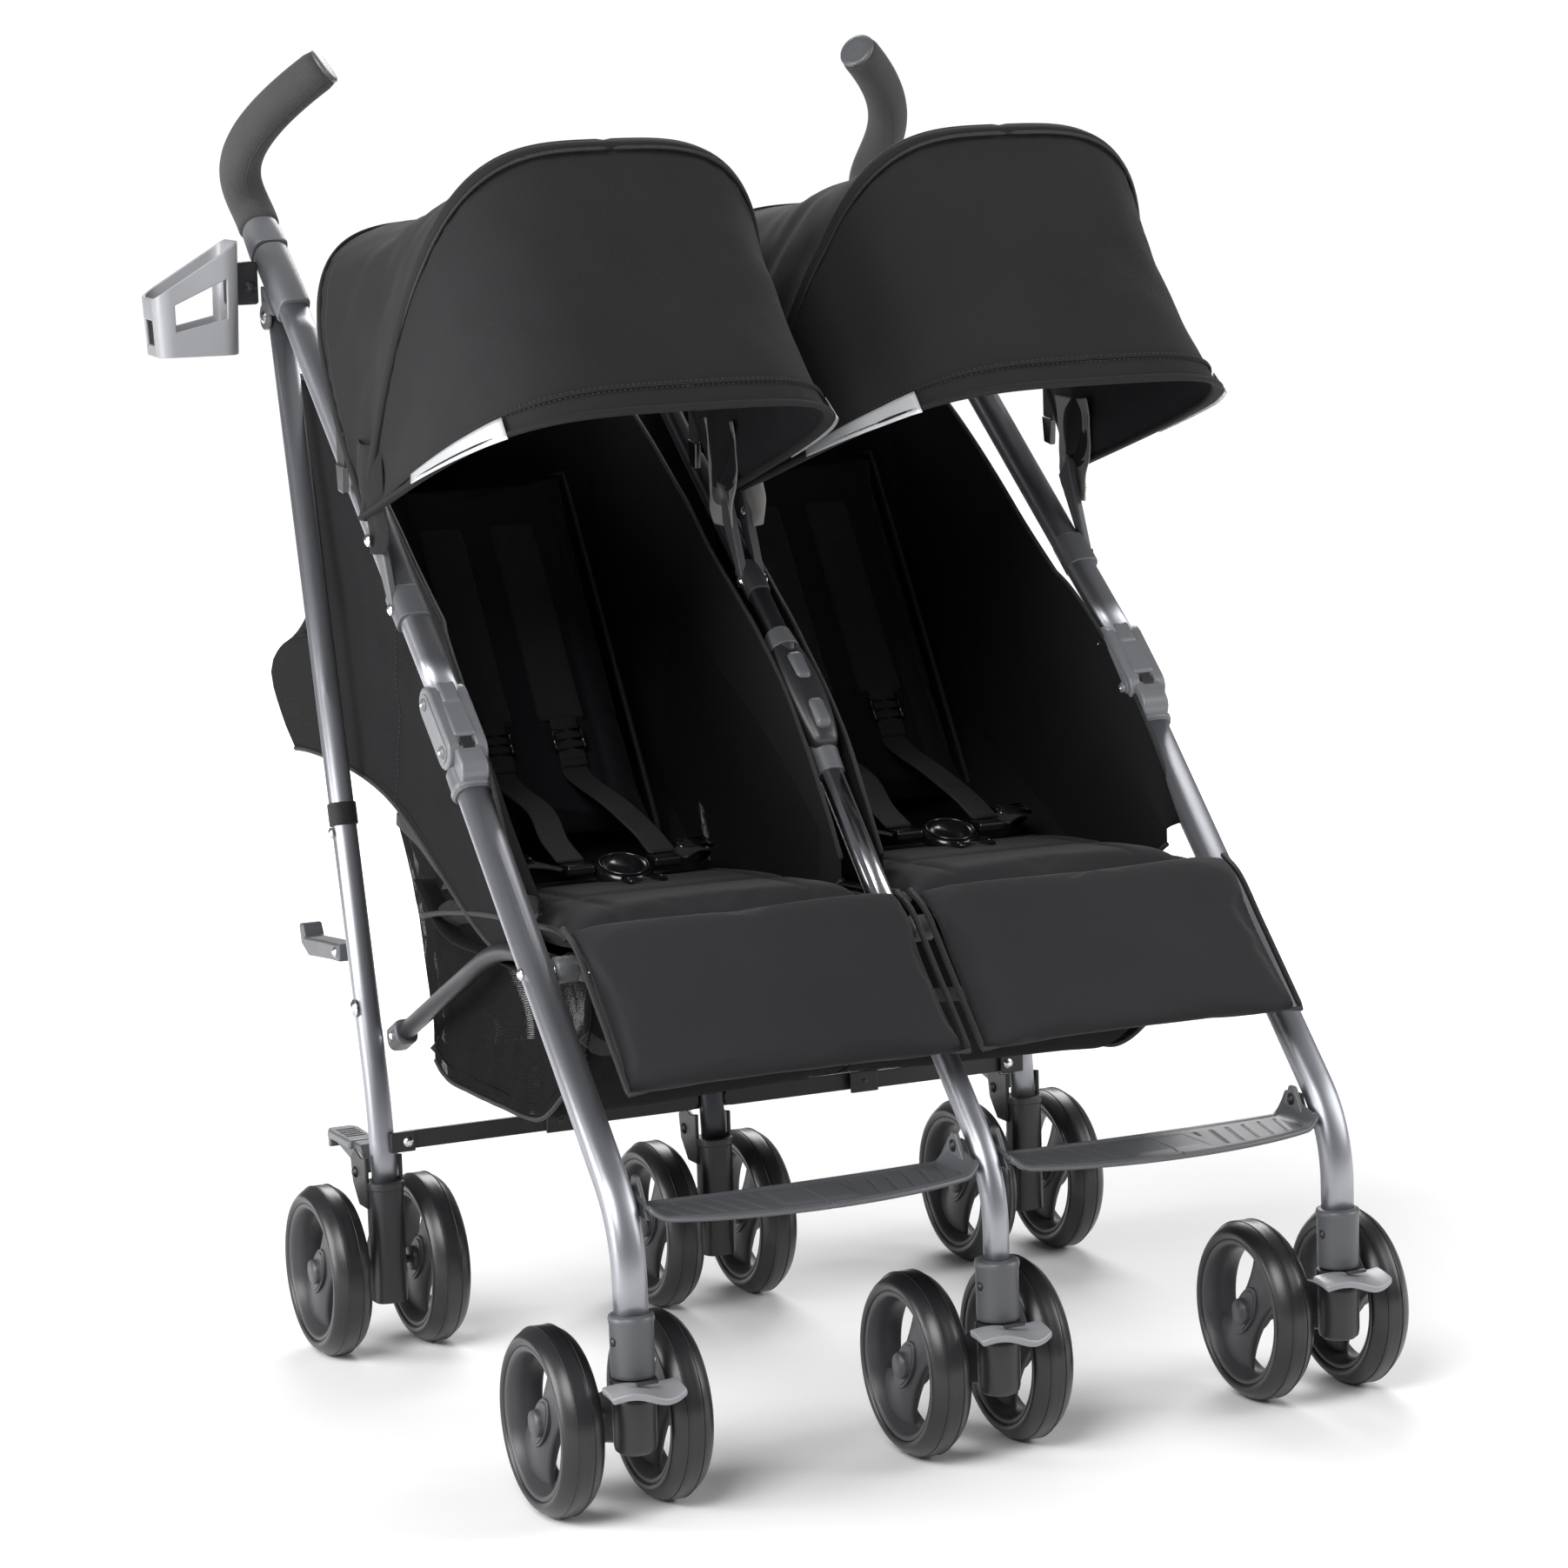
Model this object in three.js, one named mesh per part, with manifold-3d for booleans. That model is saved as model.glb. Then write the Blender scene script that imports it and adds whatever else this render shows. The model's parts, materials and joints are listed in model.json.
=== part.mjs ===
// Side-by-side twin umbrella stroller. Millimetres, +Z up, the children face -Y, +X is their left hand side.
// Origin: on the floor, under the middle of the overall box. The pieces are drawn about the point of the centre
// plane that is on the floor midway between the axles, and FRAME_SHIFT moves that point to its place.
import * as THREE from 'three'
import { mergeVertices } from 'three/addons/utils/BufferGeometryUtils.js'
import Module from 'manifold-3d'

const wasm = await Module()
wasm.setup()

// ---------------------------------------------------------------- driving dimensions
const FRAME_SHIFT = [23.2, -98.4, 0] // the cup holder widens one side, the hoods and grips reach back
const TRACK = 315                    // outer frames' planes from the centre plane
const AXLE_Y = 264                   // axles in front of and behind the middle of the wheelbase
const WHEEL_RADIUS = 75
const WHEEL_SIDES = 16               // facets round a tyre
const WHEEL_WIDTH = 35
const WHEEL_OFFSET = 45.6            // wheel's middle plane from its leg's plane
const AXLE_RADIUS = 4
const RUNNING_GAP = 0.4
const STEM_Y = -323                  // caster swivel axis
const SLEEVE_TOP = 163               // where the front leg tube enters its plastic sleeve
const SLEEVE_FOOT = 120
const HOUSING_TOP = 154              // where the rear leg tube enters its housing

const LEG_SLOPE = Math.PI / 4        // front leg, from the floor
const UPPER_SLOPE = 0.6861           // upper tube, from the floor
const KNUCKLE = [0, 570]             // knuckle pin, [y, z]
const LOWER_SHIFT = -8.1             // leg axis below the knuckle pin, square to the leg
const UPPER_SHIFT = 8.5              // upper tube axis above the knuckle pin
const REAR_PIVOT = [438, 902.2]      // rear leg's pin under the collar
const COLLAR_DROP = 29               // rear leg's pin below the upper tube's axis
const TAPER = 9                      // how far the outer frames lean in at the collar
const RAIL_PIVOT = [-152, 406]       // seat rail's pin on the front leg
const RAIL_INSET = 26                // seat rail beside its leg
const CANOPY_PIVOT = [149, 746]
const LINK_Z = 190                   // rear cross links
const FOOTREST_Z = 247

const OUTER_LEG = [13.5, 11]         // half width across and half depth of the tubes
const CENTRE_LEG = [10, 10]
const OUTER_UPPER = [13, 10.5]
const CENTRE_UPPER = [8.5, 8.5]
const REAR_TUBE = [11, 9]
const RAIL_RADIUS = 8
const GRIP_RADIUS = 18.5
const KNUCKLE_RADIUS = 15
const KNUCKLE_WIDTH = 30
const TONGUE_WIDTH = 11
const PIN_RADIUS = 4

const SEAT_INNER = 14                // a seat's inner and outer sides from the centre plane
const SEAT_OUTER = 298
const CANOPY_INNER = 4
const CANOPY_OUTER = 340

// ---------------------------------------------------------------- materials
const finish = (color, roughness, metalness) => new THREE.MeshStandardMaterial({ color, roughness, metalness })
const GUNMETAL = [0x5b6068, 0.35, 0.85]
const GREY_PLASTIC = [0x4c4e52, 0.5, 0]
const BLACK_PLASTIC = [0x1b1b1d, 0.45, 0]
const TYRE = [0x101011, 0.4, 0]
const FOAM = [0x3a3a3c, 0.9, 0]
const CANOPY_CLOTH = [0x2b2b2d, 0.85, 0]
const SEAT_CLOTH = [0x141415, 0.9, 0]
const NET = [0x0e0e0f, 0.8, 0]

// ---------------------------------------------------------------- solids
const asSolid = (geometry) => {
  const bare = geometry.clone()
  bare.deleteAttribute('normal')
  bare.deleteAttribute('uv')
  const merged = mergeVertices(bare, 1e-4)
  const vertProperties = new Float32Array(merged.attributes.position.array)
  const triVerts = new Uint32Array(merged.index.array)
  return new wasm.Manifold(new wasm.Mesh({ numProp: 3, vertProperties, triVerts }))
}

const asGeometry = (solid) => {
  const mesh = solid.getMesh()
  const geometry = new THREE.BufferGeometry()
  geometry.setAttribute('position', new THREE.BufferAttribute(new Float32Array(mesh.vertProperties), 3))
  geometry.setIndex(Array.from(mesh.triVerts))
  geometry.computeVertexNormals()
  return geometry
}

const join = (...pieces) => asGeometry(pieces.map(asSolid).reduce((all, one) => all.add(one)))
const cut = (body, ...tools) => asGeometry(tools.map(asSolid).reduce((all, one) => all.subtract(one), asSolid(body)))

const polygon = (points) => new THREE.Shape(points.map(([a, b]) => new THREE.Vector2(a, b)))

const disc = (y, z, radius) => {
  const shape = new THREE.Shape()
  shape.absarc(y, z, radius, 0, 2 * Math.PI)
  return shape
}

// A shape drawn in [y, z] and extruded across the stroller from x0 to x1.
const across = (shape, x0, x1, curveSegments = 8) => {
  const slab = new THREE.ExtrudeGeometry(shape, { depth: x1 - x0, bevelEnabled: false, curveSegments })
  const turn = new THREE.Matrix4().makeBasis(
    new THREE.Vector3(0, 1, 0), new THREE.Vector3(0, 0, 1), new THREE.Vector3(1, 0, 0))
  return slab.applyMatrix4(turn).translate(x0, 0, 0)
}

const block = (x, y, z) => new THREE.BoxGeometry(x[1] - x[0], y[1] - y[0], z[1] - z[0])
  .translate((x[0] + x[1]) / 2, (y[0] + y[1]) / 2, (z[0] + z[1]) / 2)

const rodAcross = (radius, x0, x1, y, z, sides = 12) => new THREE.CylinderGeometry(radius, radius, x1 - x0, sides)
  .rotateZ(Math.PI / 2).translate((x0 + x1) / 2, y, z)

const rodUp = (radius, x, y, z0, z1, sides = 16) => new THREE.CylinderGeometry(radius, radius, z1 - z0, sides)
  .rotateX(Math.PI / 2).translate(x, y, (z0 + z1) / 2)

const rodAlong = (radius, x, y0, y1, z, sides = 12) => new THREE.CylinderGeometry(radius, radius, y1 - y0, sides)
  .translate(x, (y0 + y1) / 2, z)

const tube = (path, [wide, deep], steps, facets = 10) => {
  const section = new THREE.Shape()
  section.absellipse(0, 0, wide, deep, 0, 2 * Math.PI)
  return new THREE.ExtrudeGeometry(section, { steps, curveSegments: facets / 2, extrudePath: path })
}

// Straight runs between the given points, with a smooth bend at each inner point over the stated reach.
const bentPath = (points, reach) => {
  const corners = points.map(([x, y, z]) => new THREE.Vector3(x, y, z))
  const path = new THREE.CurvePath()
  let from = corners[0]
  for (let i = 1; i < corners.length - 1; i += 1) {
    const before = corners[i].clone().add(from.clone().sub(corners[i]).setLength(reach))
    const after = corners[i].clone().add(corners[i + 1].clone().sub(corners[i]).setLength(reach))
    path.add(new THREE.LineCurve3(from, before))
    path.add(new THREE.QuadraticBezierCurve3(before, corners[i], after))
    from = after
  }
  path.add(new THREE.LineCurve3(from, corners.at(-1)))
  return path
}

// A point given along and above a line that leaves an origin at a slope.
const onLine = ([y, z], slope, along, above) => [
  y + along * Math.cos(slope) - above * Math.sin(slope),
  z + along * Math.sin(slope) + above * Math.cos(slope)]

const boxOnLine = (origin, slope, [from, to], [low, high]) => polygon([
  onLine(origin, slope, from, low), onLine(origin, slope, to, low),
  onLine(origin, slope, to, high), onLine(origin, slope, from, high)])

const onBothSides = (build) => [build(1), build(-1)]
const band = (side, near, far) => [Math.min(side * near, side * far), Math.max(side * near, side * far)]

// A thin closed sheet that arches across the stroller: each station has a root line and a crown point,
// and its arch runs from one root, over the crown, to the other root.
const archSheet = ({ stations, inner, outer, thickness, power, columns, rows, hem }) => {
  const middle = (inner + outer) / 2
  const half = Math.abs(outer - inner) / 2
  const rootLine = new THREE.CatmullRomCurve3(stations.map(({ root: [y, z] }) => new THREE.Vector3(0, y, z)))
  const crownLine = new THREE.CatmullRomCurve3(stations.map(({ crown: [y, z] }) => new THREE.Vector3(0, y, z)))
  const skin = (inset) => {
    const points = []
    for (let row = 0; row <= rows; row += 1) {
      const root = rootLine.getPoint(row / rows)
      const crown = crownLine.getPoint(row / rows)
      const reach = crown.distanceTo(root)
      const towards = crown.clone().sub(root).divideScalar(reach)
      for (let column = 0; column <= columns; column += 1) {
        const angle = hem + (Math.PI - 2 * hem) * column / columns
        const cosine = Math.cos(angle)
        const x = middle - Math.sign(cosine) * (half - inset) * Math.abs(cosine) ** (2 / power)
        const rise = (reach - inset) * Math.sin(angle) ** (2 / power)
        points.push(root.clone().addScaledVector(towards, rise).setX(x))
      }
    }
    return points
  }
  const width = columns + 1
  const count = width * (rows + 1)
  const points = [...skin(0), ...skin(thickness)]
  const faces = []
  const quad = (a, b, c, d) => faces.push(a, b, c, a, c, d)
  for (let row = 0; row < rows; row += 1) {
    for (let column = 0; column < columns; column += 1) {
      const at = row * width + column
      quad(at, at + width, at + width + 1, at + 1)
      quad(count + at, count + at + 1, count + at + width + 1, count + at + width)
    }
    const left = row * width
    const right = left + columns
    quad(left, left + count, left + width + count, left + width)
    quad(right, right + width, right + width + count, right + count)
  }
  for (let column = 0; column < columns; column += 1) {
    const last = rows * width + column
    quad(column, column + 1, column + 1 + count, column + count)
    quad(last, last + count, last + 1 + count, last + 1)
  }
  const geometry = new THREE.BufferGeometry().setFromPoints(points)
  geometry.setIndex(faces)
  const volume = asSolid(geometry).volume()
  if (volume < 0) geometry.setIndex(faces.reverse())
  geometry.computeVertexNormals()
  return geometry
}

// ---------------------------------------------------------------- the object
const stroller = new THREE.Group()
stroller.position.set(...FRAME_SHIFT)

const add = (name, geometry, [color, roughness, metalness], x = 0) => {
  const mesh = new THREE.Mesh(geometry, finish(color, roughness, metalness))
  mesh.name = name
  mesh.position.x = x
  stroller.add(mesh)
}

// Frames: inward is the sign of the way to the centre plane, and 0 on the centre frame.
const FRAMES = [
  { name: 'left', x: -TRACK, inward: 1 },
  { name: 'center', x: 0, inward: 0 },
  { name: 'right', x: TRACK, inward: -1 }]

// ---------------------------------------------------------------- front legs
const knuckleTongue = () => across(disc(...KNUCKLE, KNUCKLE_RADIUS), -TONGUE_WIDTH / 2, TONGUE_WIDTH / 2)
const knuckleNeck = () => across(
  boxOnLine(KNUCKLE, LEG_SLOPE, [-22, 0], [-KNUCKLE_RADIUS, KNUCKLE_RADIUS]), -TONGUE_WIDTH / 2, TONGUE_WIDTH / 2)

const footrestEar = (side, legHalf) => {
  const ear = polygon([[-302, FOOTREST_Z - 9], [-276, FOOTREST_Z - 9], [-272, FOOTREST_Z + 4], [-288, FOOTREST_Z + 22]])
  return across(ear, ...band(side, legHalf - 3, legHalf + 3.5))
}

const frontLeg = ({ inward }) => {
  const size = inward ? OUTER_LEG : CENTRE_LEG
  const foot = [0, STEM_Y, SLEEVE_TOP - 5]
  const bend = [0, STEM_Y + 0.5, STEM_Y + 558.5]
  const socket = onLine(KNUCKLE, LEG_SLOPE, -25, LOWER_SHIFT)
  const sides = inward ? [inward] : [1, -1]
  const half = KNUCKLE_WIDTH / 2
  const body = join(
    tube(bentPath([foot, bend, [0, ...socket]], 42), size, 18),
    rodUp(15.5, 0, STEM_Y, SLEEVE_FOOT, SLEEVE_TOP),
    rodUp(9, 0, STEM_Y, SLEEVE_FOOT - 14, SLEEVE_FOOT + 1),
    across(boxOnLine(KNUCKLE, LEG_SLOPE, [-42, -17], [LOWER_SHIFT - half, KNUCKLE_RADIUS]), -half, half),
    knuckleTongue(),
    knuckleNeck(),
    ...sides.map((side) => footrestEar(side, size[0])))
  return cut(body, rodAcross(PIN_RADIUS + RUNNING_GAP, -20, 20, ...KNUCKLE))
}

// ---------------------------------------------------------------- upper tubes, collars and grips
const collarPoint = (along, above) => onLine(REAR_PIVOT, UPPER_SLOPE, along, COLLAR_DROP + above)

const knuckleCheek = (side) => {
  const [near, far] = band(side, TONGUE_WIDTH / 2 + 1, KNUCKLE_WIDTH / 2)
  return join(
    across(disc(...KNUCKLE, KNUCKLE_RADIUS), near, far),
    across(boxOnLine(KNUCKLE, UPPER_SLOPE, [0, 22], [-KNUCKLE_RADIUS, KNUCKLE_RADIUS]), near, far))
}

const canopyClamp = (side, near) => {
  const foot = onLine(KNUCKLE, UPPER_SLOPE, 140, UPPER_SHIFT)
  const plate = polygon([
    [foot[0] - 14, foot[1] - 8], [foot[0] + 14, foot[1] + 8],
    [CANOPY_PIVOT[0] + 8, CANOPY_PIVOT[1] - 6], [CANOPY_PIVOT[0] + 2, CANOPY_PIVOT[1] + 9],
    [CANOPY_PIVOT[0] - 9, CANOPY_PIVOT[1] + 2]])
  return across(plate, ...band(side, near, near + 7))
}

// Two cheeks under the tube's end that hold the rear leg's pin.
const rearLegClevis = (x) => [
  ...onBothSides((side) => {
    const [near, far] = band(side, REAR_TUBE[0] + 0.7, REAR_TUBE[0] + 5)
    return join(
      across(disc(...REAR_PIVOT, 13), near, far),
      across(boxOnLine(REAR_PIVOT, UPPER_SLOPE, [-13, 13], [0, COLLAR_DROP - 12]), near, far)).translate(x, 0, 0)
  }),
  rodAcross(PIN_RADIUS, -14, 14, ...REAR_PIVOT).translate(x, 0, 0)]

const collarBody = () => across(
  boxOnLine(REAR_PIVOT, UPPER_SLOPE, [-26, 84], [COLLAR_DROP - 14.5, COLLAR_DROP + 14.5]),
  -REAR_TUBE[0] - 5, REAR_TUBE[0] + 5)

const upperTube = ({ inward }) => {
  const size = inward ? OUTER_UPPER : CENTRE_UPPER
  const from = onLine(KNUCKLE, UPPER_SLOPE, 45, UPPER_SHIFT)
  const to = collarPoint(inward ? -26.3 : -20, 0)
  const path = new THREE.LineCurve3(
    new THREE.Vector3(0, ...from), new THREE.Vector3(inward * TAPER, ...to))
  const half = KNUCKLE_WIDTH / 2
  const parts = [
    tube(path, size, 1),
    across(boxOnLine(KNUCKLE, UPPER_SLOPE, [19, 58], [-KNUCKLE_RADIUS, UPPER_SHIFT + half]), -half, half),
    ...onBothSides(knuckleCheek),
    rodAcross(PIN_RADIUS, -13, 13, ...KNUCKLE)]
  if (inward) parts.push(canopyClamp(-inward, size[0] - 5))
  else parts.push(collarBody(), ...rearLegClevis(0))
  return join(...parts)
}

const collar = ({ inward }) => join(collarBody().translate(inward * TAPER, 0, 0), ...rearLegClevis(inward * TAPER))

const grip = ({ inward }) => {
  const start = collarPoint(86, 0)
  const lead = collarPoint(144.4, 0)
  const path = new THREE.CubicBezierCurve3(
    new THREE.Vector3(inward * TAPER, ...start), new THREE.Vector3(inward * 14, ...lead),
    new THREE.Vector3(-inward * 47, 476, 1042.5), new THREE.Vector3(inward * 53.8, 419, 1120.5))
  return tube(path, [GRIP_RADIUS, GRIP_RADIUS], 12, 12)
}

// ---------------------------------------------------------------- rear legs
// The lug that carries a cross link: a plate beside the leg and a pin along Y.
const LINK_PIVOT_INSET = 20
const OUTER_LINK_Y = [230.5, 235.5]
const INNER_LINK_Y = [236.5, 241.5]

const linkLug = (side, isOuter) => {
  const plate = isOuter ? [OUTER_LINK_Y[0] - 5.5, OUTER_LINK_Y[0] - 0.5] : [INNER_LINK_Y[1] + 0.5, INNER_LINK_Y[1] + 5.5]
  const pin = isOuter ? [plate[1] - 1, OUTER_LINK_Y[1]] : [INNER_LINK_Y[0], plate[0] + 1]
  const reach = band(side, 0, LINK_PIVOT_INSET + 6)
  return join(
    block(reach, plate, [LINK_Z - 8, LINK_Z + 8]),
    rodAlong(3, side * LINK_PIVOT_INSET, ...pin, LINK_Z))
}

const rearLeg = ({ inward }) => {
  const top = onLine(REAR_PIVOT, Math.atan2(640.2, 186), 7, 0)
  const path = bentPath([[0, 234, HOUSING_TOP - 4], [0, 241, 224], [inward * TAPER, ...top]], 34)
  const sides = inward ? [inward] : [1, -1]
  const body = join(
    tube(path, REAR_TUBE, 14),
    ...sides.map((side) => linkLug(side, Boolean(inward))))
  const pinHole = rodAcross(PIN_RADIUS + RUNNING_GAP, -40, 40, ...REAR_PIVOT)
  return cut(body, pinHole, block([-30, 30], [180, 280], [HOUSING_TOP - 30, HOUSING_TOP + 0.3]))
}

const rearHousing = () => {
  const sleeve = polygon([[220, HOUSING_TOP], [220, 50], [248, 50], [272, 62], [278, 75], [272, 90], [254, 104],
    [250, HOUSING_TOP]])
  return join(across(sleeve, -15, 15), axle(AXLE_Y))
}

const axle = (y) => rodAcross(AXLE_RADIUS, -WHEEL_OFFSET - 16, WHEEL_OFFSET + 16, y, WHEEL_RADIUS)

const brakePedal = () => {
  const lever = polygon([[256, 162], [258, 157], [270, 158], [300, 170], [346, 158], [350, 176], [322, 184], [280, 180]])
  return across(lever, -13, 13)
}

const foldLever = () => {
  const lever = polygon([[303, 356], [303, 342], [330, 338], [390, 332], [408, 342], [412, 360], [400, 360],
    [394, 348], [340, 352]])
  return across(lever, -11, 11)
}

// ---------------------------------------------------------------- casters and wheels
const casterFork = () => {
  const arm = polygon([[STEM_Y, 64], [-272, 60], [-254, 66], [-250, 76], [-256, 88], [-290, 100], [STEM_Y, 100]])
  return join(rodUp(15, 0, STEM_Y, 62, 104), across(arm, -12, 12), axle(-AXLE_Y))
}

const swivelLock = () => {
  const paddle = polygon([[-342, 106], [-342, 117], [-356, 119], [-378, 112], [-378, 108], [-358, 106]])
  return across(paddle, -26, 26)
}

const wheel = () => {
  const corner = 1 / Math.cos(Math.PI / WHEEL_SIDES)
  const half = WHEEL_WIDTH / 2
  const profile = [[55, -14], [66, -half], [WHEEL_RADIUS, -half + 9]]
  const loop = [...profile, ...profile.toReversed().map(([r, a]) => [r, -a]), profile[0]]
  const ring = new THREE.LatheGeometry(loop.map(([r, a]) => new THREE.Vector2(r * corner, a)), WHEEL_SIDES)
  const bar = new THREE.Shape()
  bar.absellipse(0, 0, 58, 21, 0, 2 * Math.PI, false, -0.9)
  const body = join(
    ring.rotateY(Math.PI / WHEEL_SIDES).rotateZ(Math.PI / 2),
    across(bar, -8, 8, 5),
    rodAcross(13, -15, 15, 0, 0, 10))
  return cut(body, rodAcross(AXLE_RADIUS + RUNNING_GAP, -20, 20, 0, 0, 8))
}

const addWheelPair = (name, x, y) => {
  const pair = [['a', -WHEEL_OFFSET], ['b', WHEEL_OFFSET]]
  for (const [letter, shift] of pair) {
    add(`wheel_${name}_${letter}`, wheel().translate(0, y, WHEEL_RADIUS), TYRE, x + shift)
  }
}

// ---------------------------------------------------------------- seat rails
const seatRail = ({ inward }) => {
  const side = inward || 1
  const x = side * RAIL_INSET
  const path = bentPath([[x, ...RAIL_PIVOT], [x, -5, 401], [x, 252, 278]], 50)
  return join(
    tube(path, [RAIL_RADIUS, RAIL_RADIUS], 9, 8),
    rodAcross(RAIL_RADIUS, ...band(side, 14.2, RAIL_INSET + 6), ...RAIL_PIVOT))
}

// ---------------------------------------------------------------- footrests
// Each footrest is two half plates that meet in interleaved fingers, and each half turns on its leg's ear.
const PLATE = 4
const PLATE_BACK = -274
const PLATE_FRONT = -320
const PLATE_BOW = 33
const FINGER = 8
const FINGER_ROOT = 38

const footrestHalf = (side, pivotX, middleX, isOuter) => {
  const run = Math.abs(middleX - pivotX)
  const bowAt = (along) => PLATE_FRONT - PLATE_BOW * Math.sin((along / (2 * run)) * Math.PI)
  const solidEnd = run - FINGER_ROOT
  const edge = []
  for (let i = 0; i <= 6; i += 1) {
    const along = solidEnd * i / 6
    edge.push([along, bowAt(along)])
  }
  const outline = polygon([[0, PLATE_BACK], ...edge, [solidEnd, PLATE_BACK]])
  const tips = run + FINGER
  const third = (PLATE_FRONT - PLATE_BOW - PLATE_BACK) / 3
  const slot = 0.8
  const cuts = [PLATE_BACK, PLATE_BACK + third, PLATE_BACK + 2 * third, PLATE_FRONT - PLATE_BOW]
  const fingers = isOuter ? [[cuts[0], cuts[1] + slot], [cuts[2] - slot, cuts[3]]] : [[cuts[1] - slot, cuts[2] + slot]]
  const plates = [outline, ...fingers.map(([back, front]) => polygon([
    [solidEnd - 2, back], [solidEnd - 2, front], [tips, front], [tips, back]]))]
  const slabs = plates.map((shape) => new THREE.ExtrudeGeometry(shape, { depth: PLATE, bevelEnabled: false }))
  const hinge = rodAlong(4, 0, PLATE_FRONT, PLATE_BACK, PLATE / 2)
  const flat = join(...slabs, hinge)
  const facing = side > 0 ? flat : asGeometry(asSolid(flat).mirror([1, 0, 0]))
  return facing.translate(pivotX, 0, FOOTREST_Z - 12)
}

// ---------------------------------------------------------------- rear cross links
const linkHalf = (side, run, [back, front]) => {
  const bar = new THREE.Shape()
  const tip = run + 9
  bar.moveTo(0, -8)
  bar.lineTo(tip, -8)
  bar.absarc(tip, 0, 8, -Math.PI / 2, Math.PI / 2)
  bar.lineTo(0, 8)
  bar.absarc(0, 0, 8, Math.PI / 2, 1.5 * Math.PI)
  const slab = new THREE.ExtrudeGeometry(bar, { depth: front - back, bevelEnabled: false, curveSegments: 5 })
  const upright = slab.rotateX(Math.PI / 2).translate(0, front, 0)
  const bored = cut(upright, rodAlong(3 + RUNNING_GAP, 0, back - 5, front + 5, 0))
  return side > 0 ? bored : asGeometry(asSolid(bored).mirror([1, 0, 0]))
}

// ---------------------------------------------------------------- soft goods
const fan = (degrees, reach) => {
  const angle = THREE.MathUtils.degToRad(degrees)
  return {
    root: CANOPY_PIVOT,
    crown: [CANOPY_PIVOT[0] + reach * Math.cos(angle), CANOPY_PIVOT[1] + reach * Math.sin(angle)] }
}

const canopy = (side) => archSheet({
  stations: [fan(162, 325), fan(138, 322), fan(115, 338), fan(90, 278), fan(68, 281), fan(46, 330)],
  inner: side * CANOPY_INNER, outer: side * CANOPY_OUTER,
  thickness: 3, power: 3.5, columns: 12, rows: 8, hem: 0.03 })

const hammock = (side) => archSheet({
  stations: [
    { root: [-52, 480], crown: [214, 404] },
    { root: [60, 600], crown: [430, 440] },
    { root: [170, 690], crown: [570, 550] },
    { root: [280, 775], crown: [545, 690] },
    { root: [372, 852], crown: [450, 838] }],
  inner: side * SEAT_INNER, outer: side * (SEAT_OUTER - 9),
  thickness: 5, power: 5, columns: 12, rows: 7, hem: 0.02 })

const padAcross = (side, outline, margin) => across(polygon(outline),
  ...band(side, SEAT_INNER + margin, SEAT_OUTER - margin))

const seatPad = (side) => padAcross(side, [[-158, 423], [-40, 415], [192, 384], [196, 404], [-40, 438], [-158, 447]], 8)
const calfPad = (side) => padAcross(side, [[-298, 334], [-282, 318], [-166, 420], [-166, 446], [-186, 450]], 0)
const backrest = (side) => padAcross(side, [[198, 438], [220, 429], [432, 742], [424, 762], [406, 758]], 32)

const basket = () => {
  const outer = polygon([[-140, 300], [-52, 246], [165, 242], [216, 254], [216, 262], [40, 300], [-60, 318]])
  const inner = polygon([[-135, 340], [-135, 302], [-50, 250], [165, 246], [211, 257], [211, 340]])
  return cut(across(outer, -272, 272), across(inner, -268, 268))
}

// ---------------------------------------------------------------- cup holder
// An open cup with rounded corners and a rim that slopes down to the outside, on a bracket beside the collar.
const CUP_CENTRE = [-380, 455, 870]
const CUP_TURN = THREE.MathUtils.degToRad(-8)
const CUP_WALL = 3

const roundedSquare = (half, corner) => {
  const shape = new THREE.Shape()
  const inner = half - corner
  shape.absarc(inner, inner, corner, 0, Math.PI / 2)
  shape.absarc(-inner, inner, corner, Math.PI / 2, Math.PI)
  shape.absarc(-inner, -inner, corner, Math.PI, 1.5 * Math.PI)
  shape.absarc(inner, -inner, corner, 1.5 * Math.PI, 2 * Math.PI)
  return shape
}

const upright = (half, corner, height) =>
  new THREE.ExtrudeGeometry(roundedSquare(half, corner), { depth: height, bevelEnabled: false, curveSegments: 4 })

// A shape drawn in [x, z], extruded from y0 to y1.
const frontToBack = (points, y0, y1) =>
  new THREE.ExtrudeGeometry(polygon(points), { depth: y1 - y0, bevelEnabled: false })
    .rotateX(Math.PI / 2).translate(0, y1, 0)

const cupHolder = () => {
  const side = asSolid(frontToBack([[-41, 54], [-37, 0], [37, 2], [41, 104]], -50, 50))
  const cup = asGeometry(side.intersect(asSolid(upright(41, 14, 120))))
  const bore = upright(41 - CUP_WALL, 14 - CUP_WALL, 120).translate(0, 0, 4)
  const frontWindow = frontToBack([[-22, 48], [-20, 26], [28, 32], [26, 74]], -60, 60)
  const sideWindow = across(polygon([[-22, 14], [22, 14], [22, 40], [-22, 40]]), -60, 0)
  const bracket = block([36, 57.3], [-10, 14], [42, 78])
  const shell = cut(cup, bore, frontWindow, sideWindow)
  return join(shell.rotateZ(CUP_TURN), cut(bracket, upright(39, 12, 120).rotateZ(CUP_TURN)))
}

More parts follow.
